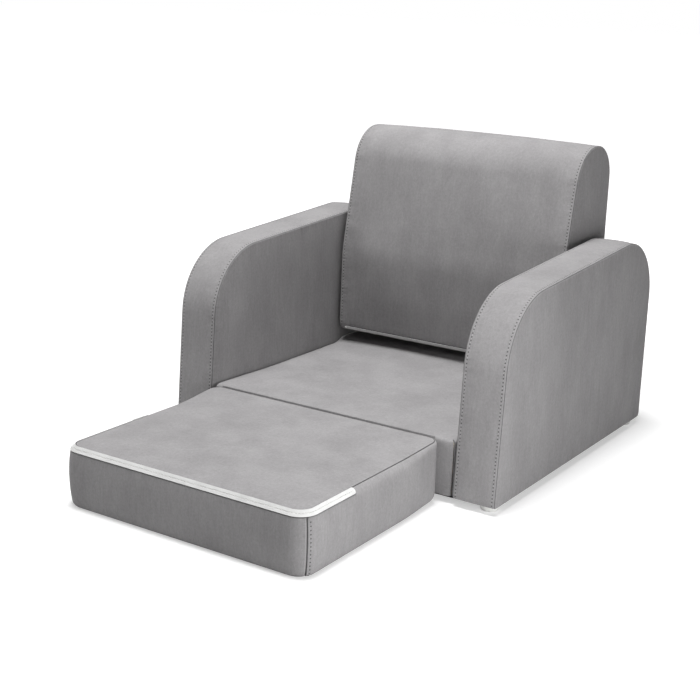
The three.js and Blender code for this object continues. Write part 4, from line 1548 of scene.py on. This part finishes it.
def ribbon(name: str, first: Array, last: Array, cells: int, thickness: float) -> bpy.types.Object:
    """A strip of cloth between two lines.

    Args:
        name: Name of the new piece.
        first: Points along one edge.
        last: Points along the other edge, as many.
        cells: Cells from edge to edge.
        thickness: Thickness of the cloth, half on each side of the lines.

    Returns:
        The strip, with a map "tape" in metres along and across.
    """
    count = len(first)
    shape = {"x_subdivisions": count - 1, "y_subdivisions": cells, "size": 1.0}
    piece = added(name, bpy.ops.mesh.primitive_grid_add, **shape)
    grid = places(piece) + 0.5
    i = np.rint(grid[:, 0] * (count - 1)).astype(int)
    j = np.rint(grid[:, 1] * cells) / cells
    spots = first[i] + (last[i] - first[i]) * j[:, None]
    move_to(piece, spots)
    width = float(np.linalg.norm(last[0] - first[0]))
    lay_map(piece, "tape", np.stack([distances((first + last) / 2)[i], j * width], axis=1)[corners_of(piece)])
    finish_with(piece, "SOLIDIFY", thickness=thickness, offset=0.0)
    return piece


def joined(pieces: Sequence[bpy.types.Object], name: str) -> bpy.types.Object:
    """Joins pieces into one."""
    activate(pieces[0])
    for piece in pieces[1:]:
        piece.select_set(True)
    bpy.ops.object.join()
    return settle(bpy.context.object, name)


def block(name: str, low: Sequence[float], high: Sequence[float]) -> bpy.types.Object:
    """A block between two corners, to be shaped."""
    bpy.ops.object.select_all(action="DESELECT")
    middle = [(a + b) / 2 for a, b in zip(low, high)]
    bpy.ops.mesh.primitive_cube_add(size=1.0, location=middle)
    piece = bpy.context.object
    piece.scale = [b - a for a, b in zip(low, high)]
    return settle(piece, name)


@dataclass
class Zip:
    """A zip: two tapes, its teeth, an end stop, and a slider with its pull."""

    owner: str
    body: str
    slider_body: str
    path: ZipPath
    gap: float = 0.0009
    tape_thickness: float = 0.0005
    pitch: float = 0.0016
    slider_travelled: float = 0.011
    slider_lift: float = -0.0002
    slider_flatness: float = 0.6

    def tapes(self) -> bpy.types.Object:
        """The two tapes, with a slit between them."""
        share = self.gap / 2 / float(np.linalg.norm(self.path.middle - self.path.low, axis=1).max())
        inner_low = self.path.middle + (self.path.low - self.path.middle) * share
        inner_high = self.path.middle + (self.path.high - self.path.middle) * share
        lower = ribbon("lower_tape", self.path.low, inner_low, 3, self.tape_thickness)
        upper = ribbon("upper_tape", inner_high, self.path.high, 3, self.tape_thickness)
        piece = joined([lower, upper], f"{self.owner}_zip_tapes")
        smooth(piece, 40.0)
        return piece

    def frames(self) -> list[Matrix]:
        """Frames along the middle of the zip, a pitch apart, each lying flat on it."""
        last = self.path.runs[-1] - self.pitch
        return [self.frame_at(run) for run in np.arange(self.pitch, last, self.pitch)]

    def frame_at(self, run: float) -> Matrix:
        """The frame at a distance along the zip, X along it and Z out of it."""
        lines = (self.path.along(), self.path.across(), self.path.middle)
        return standing(*(on_line(run, self.path.runs, line) for line in lines))

    def teeth(self) -> bpy.types.Object:
        """The teeth, each a small rounded bar across the slit."""
        tooth = block("tooth", (-0.0005, -0.0011, -0.0007), (0.0005, 0.0011, 0.0001))
        with editing(tooth):
            bpy.ops.mesh.select_all(action="SELECT")
            bpy.ops.mesh.bevel(offset=0.0002, segments=1, affect="EDGES")
        piece = repeated(tooth, f"{self.owner}_zip_teeth", self.frames())
        smooth(piece, 35.0)
        return piece

    def slider(self) -> bpy.types.Object:
        """The slider: a tapered body with a channel on each side, and a bail over it."""
        body = block("slider", (-0.0055, -0.004, 0.0), (0.0055, 0.004, 0.0020))
        with editing(body):
            pick(body, Pick.VERT, lambda v: v.co.x < 0)
            bpy.ops.transform.resize(value=(1.0, 0.62, 1.0), center_override=(0.0, 0.0, 0.0))
            pick(body, Pick.EDGE, lambda e: abs(e.verts[0].co.z - e.verts[1].co.z) > 0.001)
            bpy.ops.mesh.bevel(offset=0.0011, segments=4, affect="EDGES")
            pick(body, Pick.FACE, lambda f: abs(f.normal.y) > 0.9 or f.normal.x < -0.9)
            bpy.ops.mesh.inset(thickness=0.00045, depth=-0.0007, use_individual=True)
        rounded(body, 0.0002, 2, 40.0)
        middle = (0.0, 0.0, 0.0018)
        bail = added(
            "bail",
            bpy.ops.mesh.primitive_torus_add,
            major_segments=28,
            minor_segments=10,
            major_radius=0.0020,
            minor_radius=0.00045,
            location=middle,
            rotation=(math.pi / 2, 0.0, 0.0),
        )
        with editing(bail):
            bpy.ops.mesh.select_all(action="SELECT")
            bpy.ops.transform.resize(value=(1.35, 1.5, 0.95), center_override=middle)
        piece = joined([body, bail], f"{self.owner}_slider")
        smooth(piece, 35.0)
        return piece

    def pull(self) -> bpy.types.Object:
        """The pull: a tongue with an eye for the bail and a sunk field on both faces."""
        tongue = block("pull", (0.0008, -0.0025, 0.0024), (0.018, 0.0025, 0.0034))
        with editing(tongue):
            pick(tongue, Pick.VERT, lambda v: v.co.x < 0.005)
            bpy.ops.transform.resize(value=(1.0, 0.72, 1.0), center_override=(0.0, 0.0, 0.0))
            pick(tongue, Pick.EDGE, lambda e: abs(e.verts[0].co.z - e.verts[1].co.z) > 0.0005)
            bpy.ops.mesh.bevel(offset=0.0014, segments=5, affect="EDGES")
            pick(tongue, Pick.FACE, lambda f: abs(f.normal.z) > 0.9)
            bpy.ops.mesh.inset(thickness=0.0006, use_individual=True)
            bpy.ops.mesh.inset(thickness=0.0002, depth=-0.00018, use_individual=True)
        shape = {"vertices": 24, "radius": 0.0010, "depth": 0.004, "location": (0.0028, 0.0, 0.0029)}
        punch = added("punch", bpy.ops.mesh.primitive_cylinder_add, **shape)
        cut_out(tongue, punch)
        rounded(tongue, 0.00012, 2, 50.0)
        settle(tongue, f"{self.owner}_slider_pull")
        smooth(tongue, 35.0)
        return tongue

    def stop(self) -> bpy.types.Object:
        """The end stop: a folded clip over both tapes."""
        clip = block("clip", (-0.0012, -0.0019, -0.0004), (0.0012, 0.0019, 0.0009))
        with editing(clip):
            bpy.ops.mesh.select_all(action="SELECT")
            bpy.ops.mesh.bevel(offset=0.0004, segments=3, affect="EDGES")
        piece = repeated(clip, f"{self.owner}_zip_stops", [self.frames()[number] for number in (0, -1)])
        smooth(piece, 35.0)
        return piece

    def build(self, finishes: Finishes) -> None:
        """Makes the zip and lets its slider ride on its own body."""
        own(self.tapes(), self.body, finishes.tape, "zip_tape", f"{self.owner}_zip")
        own(self.teeth(), self.body, finishes.plastic, "plastic")
        own(self.stop(), self.body, finishes.plastic, "plastic")
        stand = self.frame_at(self.slider_travelled) @ Matrix.Translation((0.0, 0.0, self.slider_lift))
        for piece, nodes in ((self.slider(), (f"{self.owner}_zip_slider",)), (self.pull(), ())):
            piece.data.transform(stand @ Matrix.Scale(self.slider_flatness, 4, (0.0, 0.0, 1.0)))
            own(piece, self.slider_body, finishes.plastic, "plastic", *nodes)


# The cloth hinge


@dataclass
class Hinge:
    """A strip of the cover's cloth, sewn to the seat's front and to the footrest's rear."""

    left: float = -0.181
    right: float = 0.169
    seat_side: float = 0.0056
    footrest_side: float = 0.00495
    low: float = 0.070
    top: float = 0.0874
    thickness: float = 0.0004
    steps: int = 8
    cells: int = 66
    from_seams: float = 0.05

    def build(self, finishes: Finishes) -> None:
        """Makes the strip, which turns over between the seat and the footrest."""
        middle = (self.seat_side + self.footrest_side) / 2
        radius = (self.seat_side - self.footrest_side) / 2
        turns = [math.pi * step / self.steps for step in range(self.steps + 1)]
        heights = np.linspace(self.low, self.top - radius, 9)
        line = [(self.seat_side, z) for z in heights]
        for turn in turns[1:-1]:
            line.append((middle + radius * math.cos(turn), self.top - radius + radius * math.sin(turn)))
        line += [(self.footrest_side, z) for z in heights[::-1]]
        y, z = np.array(line).T
        edges = [
            np.stack([np.full_like(y, x), y + FRONT, z], axis=1) for x in (self.left, self.right)
        ]
        piece = ribbon("hinge_cloth", edges[0], edges[1], self.cells, self.thickness)
        lay_map(piece, "seams", np.full((len(piece.data.loops), 2), self.from_seams))
        smooth(piece, 60.0)
        dress(piece, finishes.suede)
        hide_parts("hinge_strip")
        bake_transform(piece)


# Under the sofa


@dataclass
class Feet:
    """Four round feet, each with its screw."""

    top_radius: float = 0.014
    bottom_radius: float = 0.011
    height: float = 0.0081
    hollow_radius: float = 0.005
    hollow_depth: float = 0.0045
    head_radius: float = 0.004
    head_low: float = 0.0018
    head_high: float = 0.0042
    shank_radius: float = 0.0020
    shank_top: float = 0.0265
    slot_reach: float = 0.0022
    slot_half: float = 0.0005
    slot_depth: float = 0.0012

    def foot(self) -> bpy.types.Object:
        """One foot at the origin: a cone with a bored underside and rounded rims."""
        piece = added(
            "foot",
            bpy.ops.mesh.primitive_cone_add,
            vertices=64,
            radius1=self.bottom_radius,
            radius2=self.top_radius,
            depth=self.height,
            location=(0.0, 0.0, self.height / 2),
        )
        with editing(piece):
            pick(piece, Pick.FACE, lambda f: f.normal.z < -0.9)
            bpy.ops.mesh.inset(thickness=self.bottom_radius - self.hollow_radius)
            bpy.ops.mesh.extrude_region_move(TRANSFORM_OT_translate={"value": (0.0, 0.0, self.hollow_depth)})
        rounded(piece, 0.0006, 3, 40.0)
        smooth(piece, 40.0)
        return piece

    def screw(self) -> bpy.types.Object:
        """One screw at the origin: a head with a cross recess, and a shank with a point."""
        piece = added(
            "screw",
            bpy.ops.mesh.primitive_cylinder_add,
            vertices=40,
            radius=self.head_radius,
            depth=self.head_high - self.head_low,
            location=(0.0, 0.0, (self.head_high + self.head_low) / 2),
        )
        with editing(piece):
            pick(piece, Pick.FACE, lambda f: f.normal.z < -0.9)
            bpy.ops.mesh.bevel(offset=0.0006, segments=3, affect="EDGES")
            pick(piece, Pick.FACE, lambda f: f.normal.z > 0.9)
            bpy.ops.mesh.inset(thickness=self.head_radius - self.shank_radius)
            for share in (0.8, 0.2):
                rise = (0.0, 0.0, (self.shank_top - self.head_high) * share)
                bpy.ops.mesh.extrude_region_move(TRANSFORM_OT_translate={"value": rise})
            bpy.ops.transform.resize(value=(0.1, 0.1, 1.0), center_override=(0.0, 0.0, self.shank_top))
        for long, wide in ((self.slot_reach, self.slot_half), (self.slot_half, self.slot_reach)):
            cut_out(piece, block("bar", (-long, -wide, 0.0), (long, wide, self.head_low + self.slot_depth)))
        smooth(piece, 35.0)
        return piece

    def build(self, finishes: Finishes) -> None:
        """Sets a copy of the foot and of the screw where each of them stands."""
        makers = (
            ("foot", self.foot, finishes.plastic, "plastic"),
            ("foot_screw", self.screw, finishes.steel, "steel"),
        )
        for kind, maker, material, slot in makers:
            master = maker()
            for end in ("front", "rear"):
                for side in Side:
                    node = f"{kind}_{end}_{side.label}"
                    low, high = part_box(node)
                    spot = (low + high) / 2
                    stand = Matrix.Translation((spot.x, spot.y, 0.0))
                    piece = repeated(copied(master), f"{node}_turned", [stand])
                    smooth(piece, 38.0)
                    own(piece, "sofa", material, slot, node)
            bpy.data.objects.remove(master)


def copied(piece: bpy.types.Object) -> bpy.types.Object:
    """A copy of a piece with its own mesh."""
    twin = piece.copy()
    twin.data = piece.data.copy()
    bpy.context.scene.collection.objects.link(twin)
    return twin


@dataclass
class DustCover:
    """The black lining stapled under the sofa."""

    cells: tuple[int, int] = (86, 78)
    sag: float = 0.0011
    thickness: float = 0.0004
    hem: float = 0.013
    hem_rise: float = 0.0004
    staple_pitch: float = 0.052

    def build(self, finishes: Finishes) -> None:
        """Makes the lining with its hem and its staples."""
        low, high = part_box("dust_cover")
        size = high - low
        grid = {"x_subdivisions": self.cells[0], "y_subdivisions": self.cells[1], "size": 1.0}
        piece = added("dust_cover_lining", bpy.ops.mesh.primitive_grid_add, **grid)
        share = places(piece) + (0.5, 0.5, 0.0)
        spots = np.array(low) + share * np.array((size.x, size.y, 0.0))
        from_edge = (np.minimum(share, 1.0 - share)[:, :2] * (size.x, size.y)).min(axis=1)
        slack = np.sin(share[:, 0] * math.pi) * np.sin(share[:, 1] * math.pi)
        ripples = np.array([noise.noise(Vector((x * 14.0, y * 14.0, 3.1))) for x, y, _ in spots])
        edge = 1.0 - eased(from_edge, self.hem, self.hem + 0.001)
        spots[:, 2] = high.z - self.thickness / 2 - self.sag * slack - 0.0004 * (ripples + 0.5) * slack
        spots[:, 2] -= self.hem_rise * edge
        move_to(piece, spots)
        finish_with(piece, "SOLIDIFY", thickness=self.thickness, offset=0.0)
        smooth(piece, 60.0)
        own(piece, "sofa", finishes.lining, "lining", "dust_cover")
        staples = self.staples(low, high)
        own(staples, "sofa", finishes.steel, "steel")

    def staples(self, low: Vector, high: Vector) -> bpy.types.Object:
        """Staples round the edge of the lining."""
        wire = block("staple", (-0.005, -0.0005, -0.0003), (0.005, 0.0005, 0.0003))
        with editing(wire):
            pick(wire, Pick.FACE, lambda f: abs(f.normal.x) > 0.9)
            bpy.ops.mesh.bevel(offset=0.0002, segments=2, affect="EDGES")
        frames = []
        bottom = high.z - self.thickness - self.hem_rise
        inset = self.hem / 2
        for axis in (0, 1):
            span = high[axis] - low[axis] - 4 * inset
            count = int(span / self.staple_pitch)
            for number in range(count + 1):
                for end in (low[1 - axis] + inset, high[1 - axis] - inset):
                    spot = [0.0, 0.0, bottom]
                    spot[axis] = low[axis] + 2 * inset + span * number / count
                    spot[1 - axis] = end
                    turn = Matrix.Rotation(math.pi / 2 * axis, 4, "Z")
                    frames.append(Matrix.Translation(spot) @ turn)
        piece = repeated(wire, "dust_cover_staples", frames)
        smooth(piece, 35.0)
        return piece


# What the CAD shapes already give


@dataclass(frozen=True)
class Frame:
    """The wood, foam and steel inside, whose CAD shapes are right."""

    words: tuple[tuple[str, str], ...] = (
        ("_foam", "foam"),
        ("_board", "plywood"),
        ("_deck", "plywood"),
        ("_batten", "pine"),
        ("_rail", "pine"),
        ("_stile", "pine"),
        ("_bolt", "steel"),
        ("_tee_nut", "steel"),
    )

    def build(self, finishes: Finishes) -> None:
        """Gives each remaining CAD node its material."""
        for node in bpy.data.objects:
            if "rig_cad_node" not in node or node.hide_render:
                continue
            material = next(getattr(finishes, kind) for word, kind in self.words if word in node.name)
            for place in node.material_slots:
                place.material = material
            log.info("%s: %s", node.name, material.name)


# Room


@dataclass(frozen=True)
class Studio:
    """The camera, the lamps and a plain pale floor."""

    position: tuple[float, float, float] = (0.97497, -1.52360, 0.66377)
    azimuth: float = 33.178
    elevation: float = 15.754
    roll: float = 1.712
    lens: float = 69.31
    sky: Colour = (0.03, 0.03, 0.03)
    floor: Colour = (0.66, 0.66, 0.66)
    floor_size: float = 30.0
    shadow_reach: Span = (0.5, 1.5)
    least_glow: float = 0.45
    aim: tuple[float, float, float] = (0.0, 0.0, 0.18)
    lamps: tuple[tuple, ...] = (
        ("above", (0.0, -0.1, 1.0), 3.0, 1.0, 100.0),
        ("behind", (0.0, 0.25, 1.0), 1.4, 0.6, 5.2),
        ("left", (-0.8, -0.8, 0.6), 1.8, 0.8, 6.4),
        ("right", (0.9, -0.6, 0.0), 0.8, 0.2, 1.7),
        ("low", (1.0, -0.25, 0.05), 1.2, 0.3, 2.3),
    )

    def camera(self) -> None:
        """Stands the camera where the photograph was taken."""
        data = bpy.data.cameras.new("camera")
        data.lens, data.sensor_width = self.lens, 36.0
        camera = bpy.data.objects.new("camera", data)
        bpy.context.scene.collection.objects.link(camera)
        turn, rise, roll = (math.radians(angle) for angle in (self.azimuth, self.elevation, self.roll))
        back = Vector((math.sin(turn) * math.cos(rise), -math.cos(turn) * math.cos(rise), math.sin(rise)))
        right = Vector((math.cos(turn), math.sin(turn), 0.0))
        up = back.cross(right)
        level = Matrix((right, up, back)).transposed().to_4x4()
        camera.matrix_world = Matrix.Translation(self.position) @ level @ Matrix.Rotation(roll, 4, "Z")
        bpy.context.scene.camera = camera

    def lamp(self, name: str, way: tuple, distance: float, size: float, power: float) -> None:
        """Hangs a soft square lamp that faces the sofa.

        Args:
            name: Its name.
            way: The way to it from the sofa.
            distance: How far off it is.
            size: Length of its sides.
            power: Its power in watts.
        """
        data = bpy.data.lights.new(name, "AREA")
        data.energy, data.size, data.shape = power, size, "SQUARE"
        lamp = bpy.data.objects.new(name, data)
        bpy.context.scene.collection.objects.link(lamp)
        aim = Vector(self.aim)
        spot = aim + Vector(way).normalized() * distance
        facing = (spot - aim).to_track_quat("Z", "Y").to_matrix().to_4x4()
        lamp.matrix_world = Matrix.Translation(spot) @ facing

    def seen(self, graph: Graph) -> Wire:
        """One where the camera, a mirror or glass looks, and nought for the light itself."""
        node = graph.node("ShaderNodeLightPath", {}, {})
        names = ("Is Camera Ray", "Is Glossy Ray", "Is Transmission Ray")
        first, second, third = (Wire(graph, node.outputs[name]) for name in names)
        return (first + second + third).least(1.0)

    def build(self) -> None:
        """Makes the room."""
        self.camera()
        for name, way, distance, size, power in self.lamps:
            self.lamp(name, way, distance, size, power)
        ground = added("floor", bpy.ops.mesh.primitive_plane_add, size=self.floor_size)
        graph = Graph("pale_floor")
        away = graph.add("ShaderNodeVectorMath", {"operation": "LENGTH"}, {0: graph.place()}, "Value")
        share = self.seen(graph) * graph.rise(away, *self.shadow_reach, self.least_glow, 1.0)
        lit = graph.colour(share, (0.0, 0.0, 0.0), (1.0, 1.0, 1.0))
        surface = graph.surface(
            Base_Color=self.floor,
            Roughness=0.9,
            Specular_IOR_Level=0.1,
            Emission_Color=lit,
            Emission_Strength=1.0,
        )
        ground.data.materials.append(surface)
        world = bpy.data.worlds.new("room")
        bpy.context.scene.world = world
        world.use_nodes = True
        sky = Graph.__new__(Graph)
        sky.material, sky.tree = world, world.node_tree
        sky.tree.nodes.clear()
        colour = sky.colour(self.seen(sky), self.sky, (1.0, 1.0, 1.0))
        shade = sky.add("ShaderNodeBackground", {}, {"Color": colour, "Strength": 1.0})
        sky.node("ShaderNodeOutputWorld", {}, {"Surface": shade})
        bpy.context.scene.view_settings.view_transform = "Standard"


def main() -> None:
    """Builds the room and then the sofa, piece by piece."""
    Studio().build()
    finishes = Finishes()
    Arm(side=Side.LEFT).build(finishes)
    Arm(side=Side.RIGHT).build(finishes)
    Seat().build(finishes)
    Backrest().build(finishes)
    Footrest().build(finishes)
    Hinge().build(finishes)
    Feet().build(finishes)
    DustCover().build(finishes)
    Frame().build(finishes)


if __name__ == "__main__":
    main()
